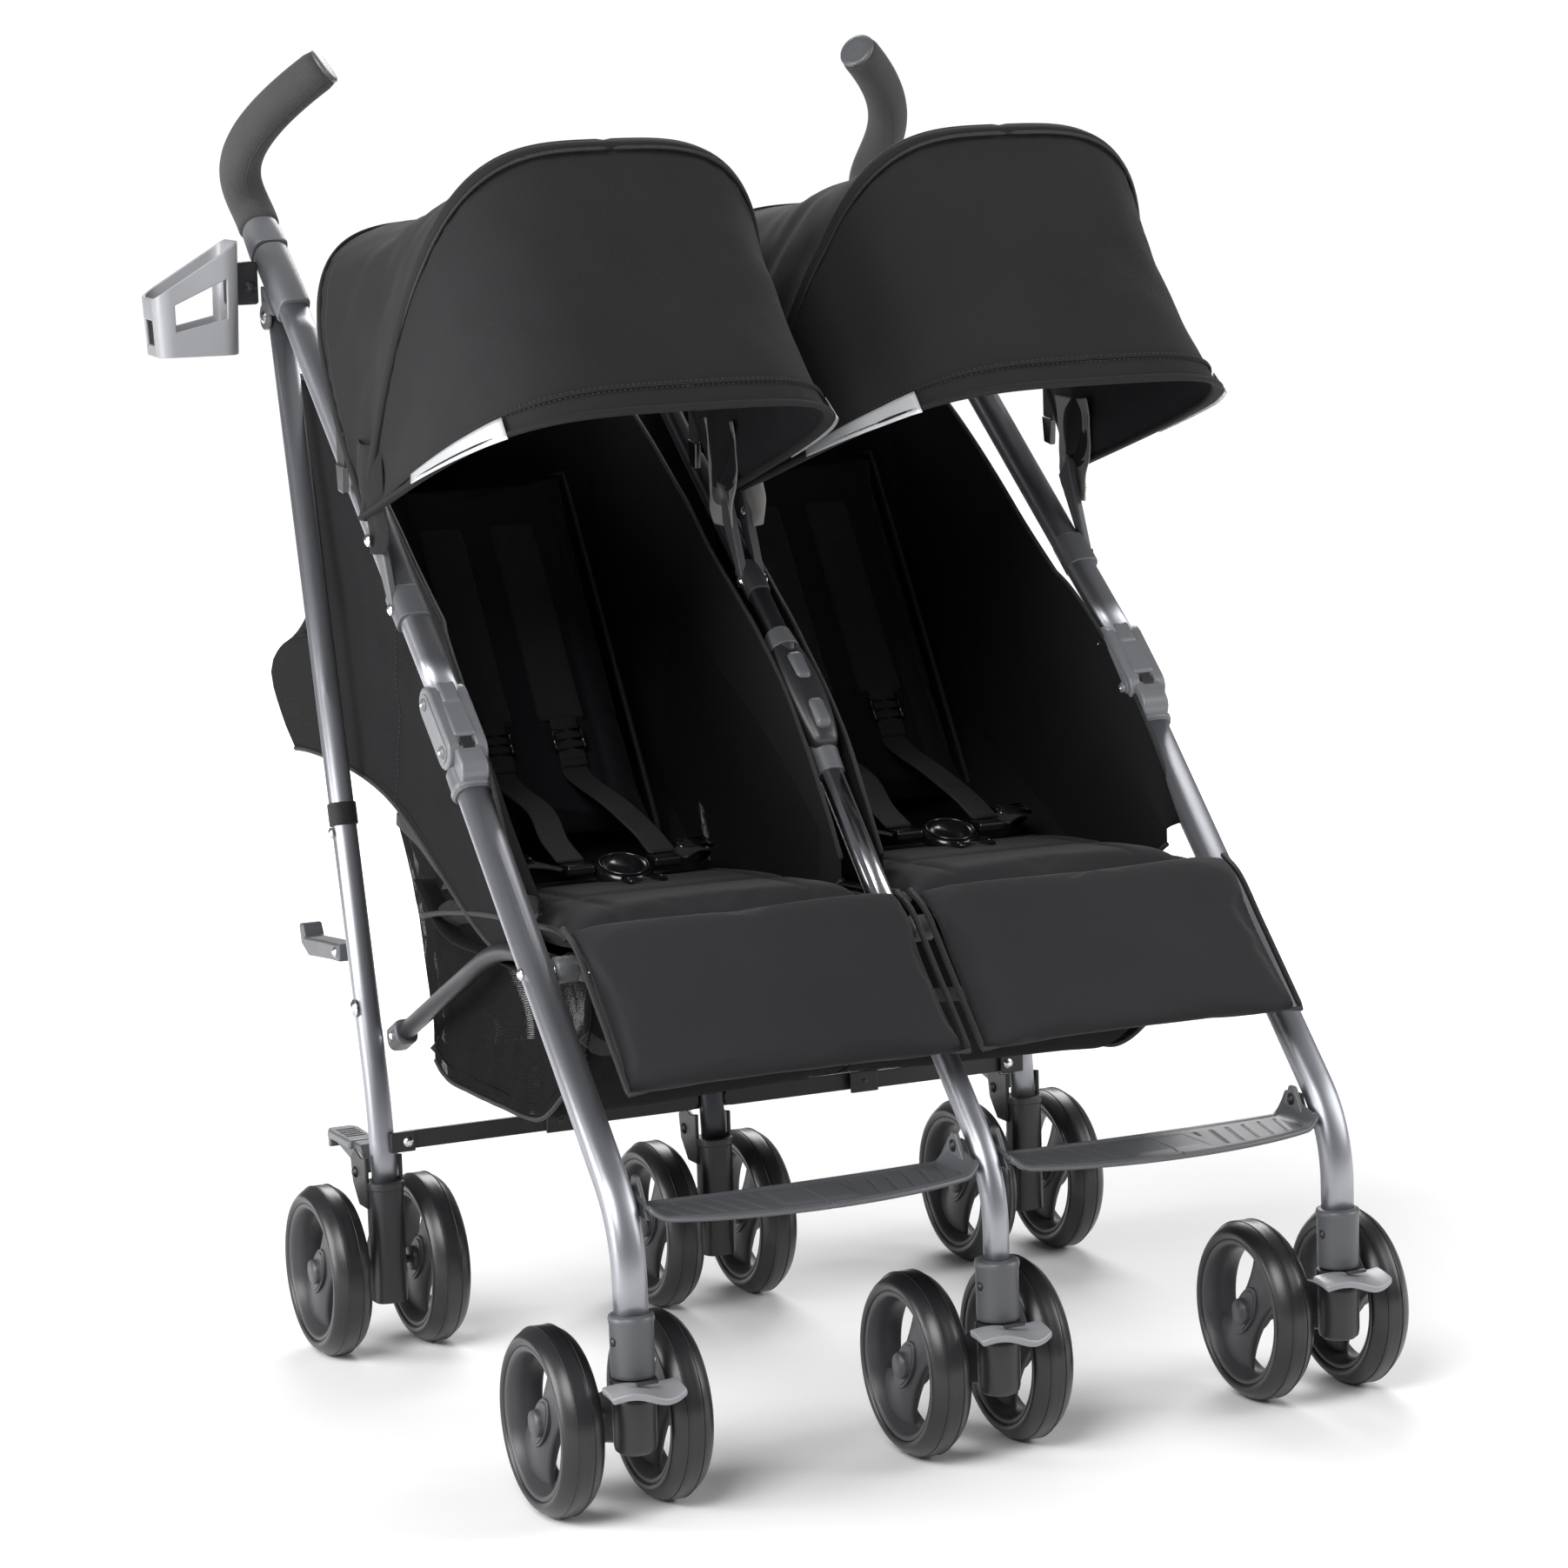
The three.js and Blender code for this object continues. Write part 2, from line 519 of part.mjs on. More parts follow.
// ---------------------------------------------------------------- assembly
for (const frame of FRAMES) {
  const { name, x } = frame
  add(`front_leg_${name}`, frontLeg(frame), GUNMETAL, x)
  add(`upper_tube_${name}`, upperTube(frame), GUNMETAL, x)
  add(`rear_leg_${name}`, rearLeg(frame), GUNMETAL, x)
  add(`rear_housing_${name}`, rearHousing(), BLACK_PLASTIC, x)
  add(`caster_fork_${name}`, casterFork(), BLACK_PLASTIC, x)
  add(`swivel_lock_${name}`, swivelLock(), GREY_PLASTIC, x)
  add(`seat_rail_${name}`, seatRail(frame), GUNMETAL, x)
  addWheelPair(`front_${name}`, x, -AXLE_Y)
  addWheelPair(`rear_${name}`, x, AXLE_Y)
}

for (const frame of FRAMES.filter(({ inward }) => inward)) {
  const { name, x, inward } = frame
  const side = -inward
  add(`collar_${name}`, collar(frame), GREY_PLASTIC, x)
  add(`grip_${name}`, grip(frame), FOAM, x)
  add(`brake_pedal_${name}`, brakePedal(), GREY_PLASTIC, x)
  add(`canopy_${name}`, canopy(side), CANOPY_CLOTH)
  add(`hammock_${name}`, hammock(side), SEAT_CLOTH)
  add(`backrest_${name}`, backrest(side), SEAT_CLOTH)
  add(`seat_pad_${name}`, seatPad(side), SEAT_CLOTH)
  add(`calf_pad_${name}`, calfPad(side), SEAT_CLOTH)

  const outerPivot = x + inward * 22
  const innerPivot = side * 18.5
  const middle = (outerPivot + innerPivot) / 2
  add(`footrest_${name}_outer`, footrestHalf(inward, outerPivot, middle, true), GREY_PLASTIC)
  add(`footrest_${name}_inner`, footrestHalf(-inward, innerPivot, middle, false), GREY_PLASTIC)

  const linkRun = (TRACK - 2 * LINK_PIVOT_INSET) / 2
  add(`rear_link_${name}_outer`,
    linkHalf(inward, linkRun, OUTER_LINK_Y).translate(x + inward * LINK_PIVOT_INSET, 0, LINK_Z), BLACK_PLASTIC)
  add(`rear_link_${name}_inner`,
    linkHalf(-inward, linkRun, INNER_LINK_Y).translate(side * LINK_PIVOT_INSET, 0, LINK_Z), BLACK_PLASTIC)
}

add('fold_lever', foldLever(), GREY_PLASTIC, -TRACK)
add('cup_holder', cupHolder().translate(...CUP_CENTRE), GREY_PLASTIC)
add('basket', basket(), NET)

export default stroller
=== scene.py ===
"""Smooth frame, moulded plastics, wheels and sewn soft goods of a side-by-side umbrella stroller,
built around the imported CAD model. Lengths here are in millimetres from the point of the centre plane that is
on the floor midway between the axles; make() turns them into metres in the CAD model's frame."""

import json
import math

import bmesh
import bpy
from mathutils import Matrix, Vector, noise


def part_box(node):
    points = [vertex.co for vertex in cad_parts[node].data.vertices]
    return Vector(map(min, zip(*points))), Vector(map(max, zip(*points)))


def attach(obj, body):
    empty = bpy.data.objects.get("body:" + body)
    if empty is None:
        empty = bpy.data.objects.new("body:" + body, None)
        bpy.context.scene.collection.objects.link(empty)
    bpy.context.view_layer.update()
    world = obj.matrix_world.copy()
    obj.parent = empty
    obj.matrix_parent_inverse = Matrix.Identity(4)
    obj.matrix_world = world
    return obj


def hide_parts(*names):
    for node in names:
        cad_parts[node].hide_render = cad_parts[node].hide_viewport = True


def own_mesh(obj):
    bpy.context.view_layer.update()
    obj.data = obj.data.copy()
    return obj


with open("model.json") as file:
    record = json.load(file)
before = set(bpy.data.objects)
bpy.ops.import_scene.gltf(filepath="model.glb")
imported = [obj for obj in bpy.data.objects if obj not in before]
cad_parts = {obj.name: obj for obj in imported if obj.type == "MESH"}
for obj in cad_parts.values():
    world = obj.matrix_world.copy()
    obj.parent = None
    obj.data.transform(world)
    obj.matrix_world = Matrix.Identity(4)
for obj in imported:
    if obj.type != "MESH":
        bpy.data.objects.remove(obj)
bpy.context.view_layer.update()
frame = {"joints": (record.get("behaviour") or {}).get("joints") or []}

MM = 0.001
TAU = 2 * math.pi
X, Y, Z = Vector((1, 0, 0)), Vector((0, 1, 0)), Vector((0, 0, 1))
SIDES = (("left", -1), ("right", 1))

JOINTS = {joint["name"]: joint for joint in frame["joints"]}


def joint_place(name):
    return Vector(JOINTS[name]["pos_m"])


MID_FLOOR = Vector((joint_place("caster_swivel_center").x, 0, 0))
MID_FLOOR.y = (joint_place("front_wheel_center_a_spin").y + joint_place("rear_wheel_center_a_spin").y) / 2


def pivot(name):
    return (joint_place(name) - MID_FLOOR) / MM


def cad(node):
    low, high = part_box(node)
    return (low - MID_FLOOR) / MM, (high - MID_FLOOR) / MM


# ------------------------------------------------------------------ driving sizes, read from the frame
KNUCKLE = pivot("knuckle_right")
TRACK = KNUCKLE.x
REAR_PIVOT = pivot("rear_leg_pivot_right")
RAIL_PIVOT = pivot("seat_rail_pivot_right")
HOOD_PIVOT = pivot("canopy_pivot_right")
STEM = pivot("caster_swivel_right")
AXLE = pivot("rear_wheel_right_b_spin")
WHEEL_OFFSET = AXLE.x - TRACK
WHEEL_RADIUS = AXLE.z
FRAMES = (("left", -TRACK, 1), ("center", 0.0, 0), ("right", TRACK, -1))
LEG_SLOPE = math.radians(45)
UPPER_SLOPE = math.radians(39.3)
LOWER_SHIFT, UPPER_SHIFT = -8.1, 8.5
COLLAR_DROP = 29.0
TAPER = TRACK - cad("collar_right")[0].x - 16
SEAT_INNER = cad("hammock_right")[0].x
SEAT_OUTER = cad("hammock_right")[1].x
PAD_OUTER = cad("calf_pad_right")[1].x
HOOD_INNER, HOOD_OUTER = cad("canopy_right")[0].x, cad("canopy_right")[1].x
SEAT_MIDDLE = (SEAT_INNER + PAD_OUTER) / 2


# ------------------------------------------------------------------ material helpers
class Nodes:
    """A material's node tree with short ways to add and join nodes."""

    def __init__(self, name):
        self.material = bpy.data.materials.new(name)
        self.material.use_nodes = True
        self.tree = self.material.node_tree
        self.shader = self.tree.nodes["Principled BSDF"]

    def add(self, kind, **settings):
        node = self.tree.nodes.new(kind)
        for key, value in settings.items():
            setattr(node, key, value)
        return node

    def link(self, source, target):
        self.tree.links.new(source, target)

    def maths(self, operation, a, b=None, clamp=False):
        node = self.add("ShaderNodeMath", operation=operation, use_clamp=clamp)
        for socket, value in zip(node.inputs, (a, b)):
            if value is None:
                continue
            if isinstance(value, (int, float)):
                socket.default_value = value
            else:
                self.link(value, socket)
        return node.outputs[0]

    def noise(self, scale, detail=3.0, vector=None, roughness=0.5):
        node = self.add("ShaderNodeTexNoise")
        node.inputs["Scale"].default_value = scale
        node.inputs["Detail"].default_value = detail
        node.inputs["Roughness"].default_value = roughness
        self.link(vector or self.place(), node.inputs["Vector"])
        return node.outputs["Fac"]

    def place(self):
        return self.add("ShaderNodeTexCoord").outputs["Object"]

    def uv(self):
        split = self.add("ShaderNodeSeparateXYZ")
        self.link(self.add("ShaderNodeTexCoord").outputs["UV"], split.inputs[0])
        return split.outputs[0], split.outputs[1]

    def ramp(self, factor, stops):
        node = self.add("ShaderNodeValToRGB")
        elements = node.color_ramp.elements
        while len(elements) < len(stops):
            elements.new(0.5)
        for element, (position, color) in zip(elements, stops):
            element.position = position
            element.color = color if len(color) == 4 else (*color, 1)
        self.link(factor, node.inputs["Fac"])
        return node.outputs["Color"]

    def mix(self, factor, a, b):
        node = self.add("ShaderNodeMix", data_type="RGBA")
        sockets = (node.inputs[0], node.inputs[6], node.inputs[7])
        for socket, value in zip(sockets, (factor, a, b)):
            if isinstance(value, (int, float)):
                socket.default_value = value
            elif isinstance(value, tuple):
                socket.default_value = (*value, 1)
            else:
                self.link(value, socket)
        return node.outputs[2]

    def bump(self, height, distance, strength=1.0):
        node = self.add("ShaderNodeBump")
        node.inputs["Strength"].default_value = strength
        node.inputs["Distance"].default_value = distance * MM
        self.link(height, node.inputs["Height"])
        self.link(node.outputs["Normal"], self.shader.inputs["Normal"])

    def put(self, **values):
        names = {"color": "Base Color", "roughness": "Roughness", "metallic": "Metallic",
                 "coat": "Coat Weight", "coat_roughness": "Coat Roughness",
                 "sheen": "Sheen Weight", "sheen_roughness": "Sheen Roughness",
                 "specular": "Specular IOR Level", "alpha": "Alpha", "anisotropy": "Anisotropic"}
        for key, value in values.items():
            socket = self.shader.inputs[names[key]]
            if isinstance(value, (int, float)):
                socket.default_value = value
            elif isinstance(value, tuple):
                socket.default_value = (*value, 1)
            else:
                self.link(value, socket)


def shade(color, factor):
    return tuple(min(1.0, c * factor) for c in color)


def hard_look(name, color, roughness, metallic=0.0, grain=0.05, grain_scale=900, wear=1.35, coat=0.0):
    """Moulded or painted surface: mottled colour, worn lighter edges and a fine surface grain."""
    n = Nodes(name)
    mottle = n.noise(9, 4)
    base = n.ramp(mottle, [(0.3, shade(color, 0.9)), (0.7, shade(color, 1.1))])
    edge = n.add("ShaderNodeNewGeometry").outputs["Pointiness"]
    scuff = n.maths("MULTIPLY", n.ramp(edge, [(0.52, (0, 0, 0)), (0.62, (1, 1, 1))]), n.noise(60, 5))
    n.put(color=n.mix(scuff, base, shade(color, wear)), metallic=metallic, coat=coat, coat_roughness=0.2)
    smear = n.noise(25, 6)
    n.put(roughness=n.maths("ADD", n.maths("MULTIPLY", smear, 0.14), roughness - 0.07))
    n.bump(n.noise(grain_scale, 2), grain)
    return n.material


def brushed_look(name, color, roughness, metallic):
    """Anodised or drawn metal: fine lines along the tube, faint cloudiness."""
    n = Nodes(name)
    stretch = n.add("ShaderNodeMapping")
    stretch.inputs["Scale"].default_value = (900, 60, 60)
    n.link(n.place(), stretch.inputs["Vector"])
    lines = n.noise(1.0, 2, stretch.outputs["Vector"])
    cloud = n.noise(7, 3)
    edge = n.add("ShaderNodeNewGeometry").outputs["Pointiness"]
    rub = n.ramp(edge, [(0.53, (0, 0, 0)), (0.64, (1, 1, 1))])
    base = n.ramp(cloud, [(0.3, shade(color, 0.93)), (0.7, shade(color, 1.07))])
    n.put(color=n.mix(rub, base, shade(color, 1.5)), metallic=metallic, anisotropy=0.3)
    n.put(roughness=n.maths("ADD", n.maths("MULTIPLY", lines, 0.06), roughness - 0.03))
    n.bump(lines, 0.004)
    return n.material


def woven_look(name, color, pitch, depth, sheen=0.35, roughness=0.85, fade=1.25):
    """Plain weave: crossing threads over the cloth's own measure, slubs, and a soft sheen."""
    n = Nodes(name)
    u, v = n.uv()
    turn = math.pi / (pitch * MM)
    warp = n.maths("SINE", n.maths("MULTIPLY", u, turn))
    weft = n.maths("SINE", n.maths("MULTIPLY", v, turn))
    weave = n.maths("ADD", n.maths("MULTIPLY", n.maths("MULTIPLY", warp, weft), 0.5), 0.5)
    slub = n.noise(700, 2)
    cloud = n.noise(6, 5)
    base = n.ramp(cloud, [(0.25, shade(color, 0.88)), (0.75, shade(color, fade))])
    thread = n.mix(n.maths("MULTIPLY", weave, 0.5), base, shade(color, 1.5))
    height = n.maths("ADD", weave, n.maths("MULTIPLY", slub, 0.6))
    n.put(color=thread, roughness=n.maths("ADD", n.maths("MULTIPLY", slub, 0.12), roughness - 0.06),
          sheen=sheen, sheen_roughness=0.45, specular=0.14)
    n.bump(height, depth)
    return n.material


def net_look(name, color, pitch, opening):
    """Knitted net: round-cornered holes in offset rows that light passes through."""
    n = Nodes(name)
    u, v = n.uv()
    turn = TAU / (pitch * MM)
    a = n.maths("SINE", n.maths("MULTIPLY", n.maths("ADD", u, v), turn))
    b = n.maths("SINE", n.maths("MULTIPLY", n.maths("SUBTRACT", u, v), turn))
    cell = n.maths("MULTIPLY", a, b)
    solid = n.maths("LESS_THAN", cell, opening)
    strand = n.ramp(n.noise(500, 2), [(0.3, shade(color, 0.7)), (0.7, shade(color, 1.5))])
    n.put(color=strand, roughness=0.9, sheen=0.01, specular=0.12, alpha=solid)
    n.bump(n.maths("SUBTRACT", 1.0, cell), 0.5)
    return n.material


def rib_look(name, color, pitch, roughness=0.6):
    """Webbing: ribs across the band with a slight twill."""
    n = Nodes(name)
    u, v = n.uv()
    twill = n.maths("ADD", v, n.maths("MULTIPLY", u, 0.35))
    rib = n.maths("SINE", n.maths("MULTIPLY", twill, TAU / (pitch * MM)))
    rib = n.maths("ADD", n.maths("MULTIPLY", rib, 0.5), 0.5)
    n.put(color=n.mix(rib, shade(color, 0.7), shade(color, 1.6)), roughness=roughness, sheen=0.03)
    n.bump(n.maths("ADD", rib, n.maths("MULTIPLY", n.noise(900, 2), 0.5)), 0.35)
    return n.material


def bead_look(name, color):
    """Reflective tape: bright glass-bead grain in a fine diamond grid."""
    n = Nodes(name)
    u, v = n.uv()
    turn = TAU / (2.2 * MM)
    a = n.maths("SINE", n.maths("MULTIPLY", n.maths("ADD", u, v), turn))
    b = n.maths("SINE", n.maths("MULTIPLY", n.maths("SUBTRACT", u, v), turn))
    grid = n.maths("MAXIMUM", a, b)
    n.put(color=n.mix(n.maths("MULTIPLY", grid, 0.25, clamp=True), color, shade(color, 0.7)),
          roughness=0.32, metallic=0.35, coat=0.3)
    n.bump(n.maths("ADD", grid, n.noise(1500, 2)), 0.08)
    return n.material


def foam_look(name, color):
    n = Nodes(name)
    pores = n.add("ShaderNodeTexVoronoi")
    pores.inputs["Scale"].default_value = 1100
    n.link(n.place(), pores.inputs["Vector"])
    cloud = n.noise(14, 5)
    base = n.ramp(cloud, [(0.3, shade(color, 0.85)), (0.7, shade(color, 1.15))])
    n.put(color=base, roughness=0.92, sheen=0.06, sheen_roughness=0.6, specular=0.25)
    n.bump(n.maths("ADD", pores.outputs["Distance"], n.noise(250, 4)), 0.3)
    return n.material


def tyre_look(name, color):
    n = Nodes(name)
    dust = n.noise(18, 6)
    base = n.ramp(dust, [(0.35, color), (0.8, shade(color, 2.0))])
    n.put(color=base, roughness=n.maths("ADD", n.maths("MULTIPLY", dust, 0.22), 0.2), specular=0.55)
    n.bump(n.noise(420, 3), 0.05)
    return n.material


LOOK = {
    "tube": brushed_look("satin_gunmetal", (0.30, 0.305, 0.33), 0.38, 0.9),
    "dark_tube": brushed_look("dark_gunmetal", (0.045, 0.046, 0.052), 0.4, 0.8),
    "bright_tube": brushed_look("drawn_aluminium", (0.42, 0.42, 0.44), 0.24, 1.0),
    "grey": hard_look("grey_nylon", (0.075, 0.077, 0.083), 0.4, grain=0.05),
    "light_grey": hard_look("pale_grey_nylon", (0.115, 0.118, 0.126), 0.34, grain=0.04),
    "pale": hard_look("pale_silver_nylon", (0.24, 0.242, 0.255), 0.32, grain=0.03),
    "dark": hard_look("black_nylon", (0.016, 0.016, 0.018), 0.38, grain=0.05, wear=2.4),
    "rim": hard_look("rim_nylon", (0.042, 0.042, 0.046), 0.4, grain=0.05),
    "gloss": hard_look("buckle_acetal", (0.006, 0.006, 0.007), 0.2, grain=0.01, wear=2.5, coat=0.4),
    "black_steel": hard_look("black_powder_coat", (0.012, 0.012, 0.013), 0.4, metallic=0.2, grain=0.08,
                             wear=3),
    "steel": brushed_look("zinc_steel", (0.62, 0.62, 0.62), 0.22, 1.0),
    "tyre": tyre_look("tyre_rubber", (0.009, 0.009, 0.010)),
    "foam": foam_look("grip_foam", (0.045, 0.044, 0.045)),
    "hood": woven_look("canopy_polyester", (0.0125, 0.0123, 0.0132), 0.9, 0.12, sheen=0.03),
    "lining": woven_look("canopy_lining", (0.012, 0.012, 0.014), 0.7, 0.08, sheen=0.03, roughness=0.6),
    "silver": woven_look("silver_tab", (0.2, 0.195, 0.19), 0.8, 0.1, sheen=0.02, roughness=0.38),
    "seat": woven_look("seat_polyester", (0.016, 0.016, 0.0175), 1.3, 0.22, sheen=0.05),
    "seat_dark": woven_look("seat_insert", (0.007, 0.007, 0.009), 1.1, 0.2, sheen=0.03),
    "side": woven_look("side_polyester", (0.0042, 0.0042, 0.0049), 1.0, 0.15, sheen=0.01),
    "piping": rib_look("piping_cord", (0.0028, 0.0028, 0.0034), 1.4),
    "webbing": rib_look("webbing", (0.0035, 0.0035, 0.0042), 1.8),
    "thread": rib_look("sewing_thread", (0.02, 0.02, 0.022), 0.6),
    "net": net_look("basket_net", (0.0035, 0.0035, 0.004), 3.0, 0.7),
    "fine_net": net_look("side_net", (0.004, 0.004, 0.005), 2.6, 0.9),
    "tape": bead_look("reflective_tape", (0.62, 0.63, 0.65)),
}


# ------------------------------------------------------------------ mesh helpers
def make(name, points, faces, look, uvs=None, smooth=True):
    mesh = bpy.data.meshes.new(name)
    mesh.from_pydata([MID_FLOOR + Vector(p) * MM for p in points], [], faces)
    layer = mesh.uv_layers.new(name="measure")
    for loop in mesh.loops:
        u, v = uvs[loop.vertex_index] if uvs else points[loop.vertex_index][:2]
        layer.data[loop.index].uv = (u * MM, v * MM)
    mesh.materials.append(LOOK[look])
    mesh.polygons.foreach_set("use_smooth", [smooth] * len(mesh.polygons))
    obj = bpy.data.objects.new(name, mesh)
    obj["look"] = look
    bpy.context.scene.collection.objects.link(obj)
    return obj


def outward(obj):
    """Turns a closed mesh's faces to point out of it."""
    work = bmesh.new()
    work.from_mesh(obj.data)
    bmesh.ops.recalc_face_normals(work, faces=work.faces)
    work.to_mesh(obj.data)
    work.free()
    return obj


def modify(obj, kind, **settings):
    modifier = obj.modifiers.new(kind.lower(), kind)
    for key, value in settings.items():
        setattr(modifier, key, value)
    return obj


def soften(obj, width, segments=3):
    return modify(obj, "BEVEL", width=width * MM, segments=segments, limit_method="ANGLE",
                  angle_limit=math.radians(38), harden_normals=True)


def baked(obj):
    """The object's own mesh after its modifiers."""
    graph = bpy.context.evaluated_depsgraph_get()
    mesh = bpy.data.meshes.new_from_object(obj.evaluated_get(graph))
    obj.modifiers.clear()
    obj.data = mesh
    return obj


def fuse(name, pieces):
    """One object from several, with their modifiers applied and their materials kept."""
    bpy.context.view_layer.update()
    graph = bpy.context.evaluated_depsgraph_get()
    work, slots = bmesh.new(), []
    for piece in pieces:
        mesh = bpy.data.meshes.new_from_object(piece.evaluated_get(graph))
        mesh.transform(piece.matrix_world)
        lookup = []
        for material in mesh.materials:
            if material not in slots:
                slots.append(material)
            lookup.append(slots.index(material))
        first = len(work.faces)
        work.from_mesh(mesh)
        work.faces.ensure_lookup_table()
        for face in work.faces[first:]:
            face.material_index = lookup[min(face.material_index, len(lookup) - 1)]
        bpy.data.meshes.remove(mesh)
    mesh = bpy.data.meshes.new(name)
    work.to_mesh(mesh)
    work.free()
    for material in slots:
        mesh.materials.append(material)
    obj = bpy.data.objects.new(name, mesh)
    obj["look"] = pieces[0]["look"]
    bpy.context.scene.collection.objects.link(obj)
    for piece in pieces:
        bpy.data.objects.remove(piece)
    return obj


def mount(obj, body, stands_for=(), squeeze=None):
    """Puts a finished piece on its body. When squeeze is given, the piece gets a mesh of its own; the x it
    holds is not used.
    """
    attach(obj, body)
    if stands_for:
        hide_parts(*stands_for)
    if squeeze is not None:
        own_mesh(obj)
    return obj


def spline(points, count):
    """A smooth curve through the points."""
    points = [Vector(p) for p in points]
    padded = [points[0] * 2 - points[1], *points, points[-1] * 2 - points[-2]]
    curve = []
    for i in range(count):
        place = i / (count - 1) * (len(points) - 1)
        k = min(int(place), len(points) - 2)
        t = place - k
        a, b, c, d = padded[k:k + 4]
        curve.append(0.5 * (2 * b + (c - a) * t + (2 * a - 5 * b + 4 * c - d) * t ** 2
                            + (3 * b - a - 3 * c + d) * t ** 3))
    return curve


def evenly(points, count):
    """The same line with its points evenly spaced."""
    lengths = [0.0]
    for a, b in zip(points, points[1:]):
        lengths.append(lengths[-1] + (b - a).length)
    result, k = [], 0
    for i in range(count):
        want = lengths[-1] * i / (count - 1)
        while k < len(points) - 2 and lengths[k + 1] < want:
            k += 1
        span = max(lengths[k + 1] - lengths[k], 1e-9)
        result.append(points[k].lerp(points[k + 1], min(1.0, (want - lengths[k]) / span)))
    return result


def bent(points, reach, steps=12):
    """Straight runs with a smooth bend at each inner point."""
    corners = [Vector(p) for p in points]
    path = [corners[0]]
    for before, corner, after in zip(corners, corners[1:], corners[2:]):
        start = corner + (before - corner).normalized() * reach
        end = corner + (after - corner).normalized() * reach
        for i in range(steps + 1):
            t = i / steps
            path.append(start.lerp(corner, t).lerp(corner.lerp(end, t), t))
    path.append(corners[-1])
    return path


def oval(wide, deep, power=2.0, count=32):
    """An oval outline. A higher power makes it squarer."""
    ring = []
    for i in range(count):
        c, s = math.cos(TAU * i / count), math.sin(TAU * i / count)
        ring.append((math.copysign(wide * abs(c) ** (2 / power), c),
                     math.copysign(deep * abs(s) ** (2 / power), s)))
    return ring


def swept(name, path, ring, look, side=X):
    """A closed bar along a path. ring is an outline, or a function of how far along it is."""
    points, uvs, along = [], [], 0.0
    for i, p in enumerate(path):
        ahead = path[min(i + 1, len(path) - 1)] - path[max(i - 1, 0)]
        tangent = ahead.normalized()
        a = (side - tangent * side.dot(tangent)).normalized()
        b = tangent.cross(a)
        outline = ring(i / (len(path) - 1)) if callable(ring) else ring
        if i:
            along += (p - path[i - 1]).length
        round_ring = 0.0
        for j, (u, v) in enumerate(outline):
            points.append(p + a * u + b * v)
            uvs.append((round_ring, along))
            w = outline[(j + 1) % len(outline)]
            round_ring += math.hypot(w[0] - u, w[1] - v)
    width = len(outline)
    faces = []
    for i in range(len(path) - 1):
        for j in range(width):
            k = (j + 1) % width
            faces.append((i * width + j, i * width + k, (i + 1) * width + k, (i + 1) * width + j))
    faces.append(tuple(range(width)))
    faces.append(tuple(reversed(range((len(path) - 1) * width, len(path) * width))))
    return outward(make(name, points, faces, look, uvs))


def cord(name, path, radius, look="piping", count=8):
    return swept(name, path, oval(radius, radius, count=count), look)


def strap(name, points, width, thickness, look="webbing", side=X, count=40):
    ring = oval(width / 2, thickness / 2, power=6, count=16)
    return swept(name, evenly(spline(points, count * 3), count), ring, look, side)


def turned(name, profile, centre, axis, look, count=48, closed=False):
    """A shape turned about an axis from (radius, along) points."""
    axis = Vector(axis).normalized()
    a = axis.orthogonal().normalized()
    b = axis.cross(a)
    points, uvs = [], []
    for radius, along in profile:
        for i in range(count):
            angle = TAU * i / count
            spoke = a * math.cos(angle) + b * math.sin(angle)
            points.append(Vector(centre) + axis * along + spoke * max(radius, 0.001))
            uvs.append((radius * angle, along))
    faces = []
    rows = len(profile)
    for r in range(rows if closed else rows - 1):
        for i in range(count):
            j, s = (i + 1) % count, (r + 1) % rows
            faces.append((r * count + i, r * count + j, s * count + j, s * count + i))
    if not closed:
        faces.append(tuple(range(count)))
        faces.append(tuple(reversed(range((rows - 1) * count, rows * count))))
    return outward(make(name, points, faces, look, uvs))


def slab(name, outline, low, high, axis, look, bevel=1.5, segments=3):
    """A flat outline given thickness along x, y or z, with rounded edges.
    The outline's two numbers are the other two coordinates, in x, y, z order."""
    def place(u, v, w):
        return {"x": (w, u, v), "y": (u, w, v), "z": (u, v, w)}[axis]
    count = len(outline)
    points = [place(u, v, low) for u, v in outline] + [place(u, v, high) for u, v in outline]
    faces = [tuple(range(count)), tuple(reversed(range(count, 2 * count)))]
    for i in range(count):
        j = (i + 1) % count
        faces.append((i, j, count + j, count + i))
    obj = outward(make(name, points, faces, look))
    return soften(obj, bevel, segments) if bevel else obj


def disc(u, v, radius, start=0.0, end=TAU, count=24):
    """Points of an arc. The last one is left out when the arc is a full circle."""
    turn = end - start
    angles = [start + turn * i / count for i in range(count + (turn < TAU))]
    return [(u + radius * math.cos(angle), v + radius * math.sin(angle)) for angle in angles]


def rectangle(u_low, u_high, v_low, v_high):
    return [(u_low, v_low), (u_high, v_low), (u_high, v_high), (u_low, v_high)]


def two_sided(rows, columns):
    """Faces that close two equal grids of points, the first above the second, into one body."""
    width = columns + 1
    count = (rows + 1) * width
    faces = []
    for r in range(rows):
        for c in range(columns):
            a = r * width + c
            faces.append((a, a + 1, a + width + 1, a + width))
            faces.append((count + a, count + a + width, count + a + width + 1, count + a + 1))
    loop = list(range(width))
    loop += [r * width + columns for r in range(1, rows + 1)]
    loop += [rows * width + c for c in range(columns - 1, -1, -1)]
    loop += [r * width for r in range(rows - 1, 0, -1)]
    for a, b in zip(loop, loop[1:] + loop[:1]):
        faces.append((a, count + a, count + b, b))
    return faces


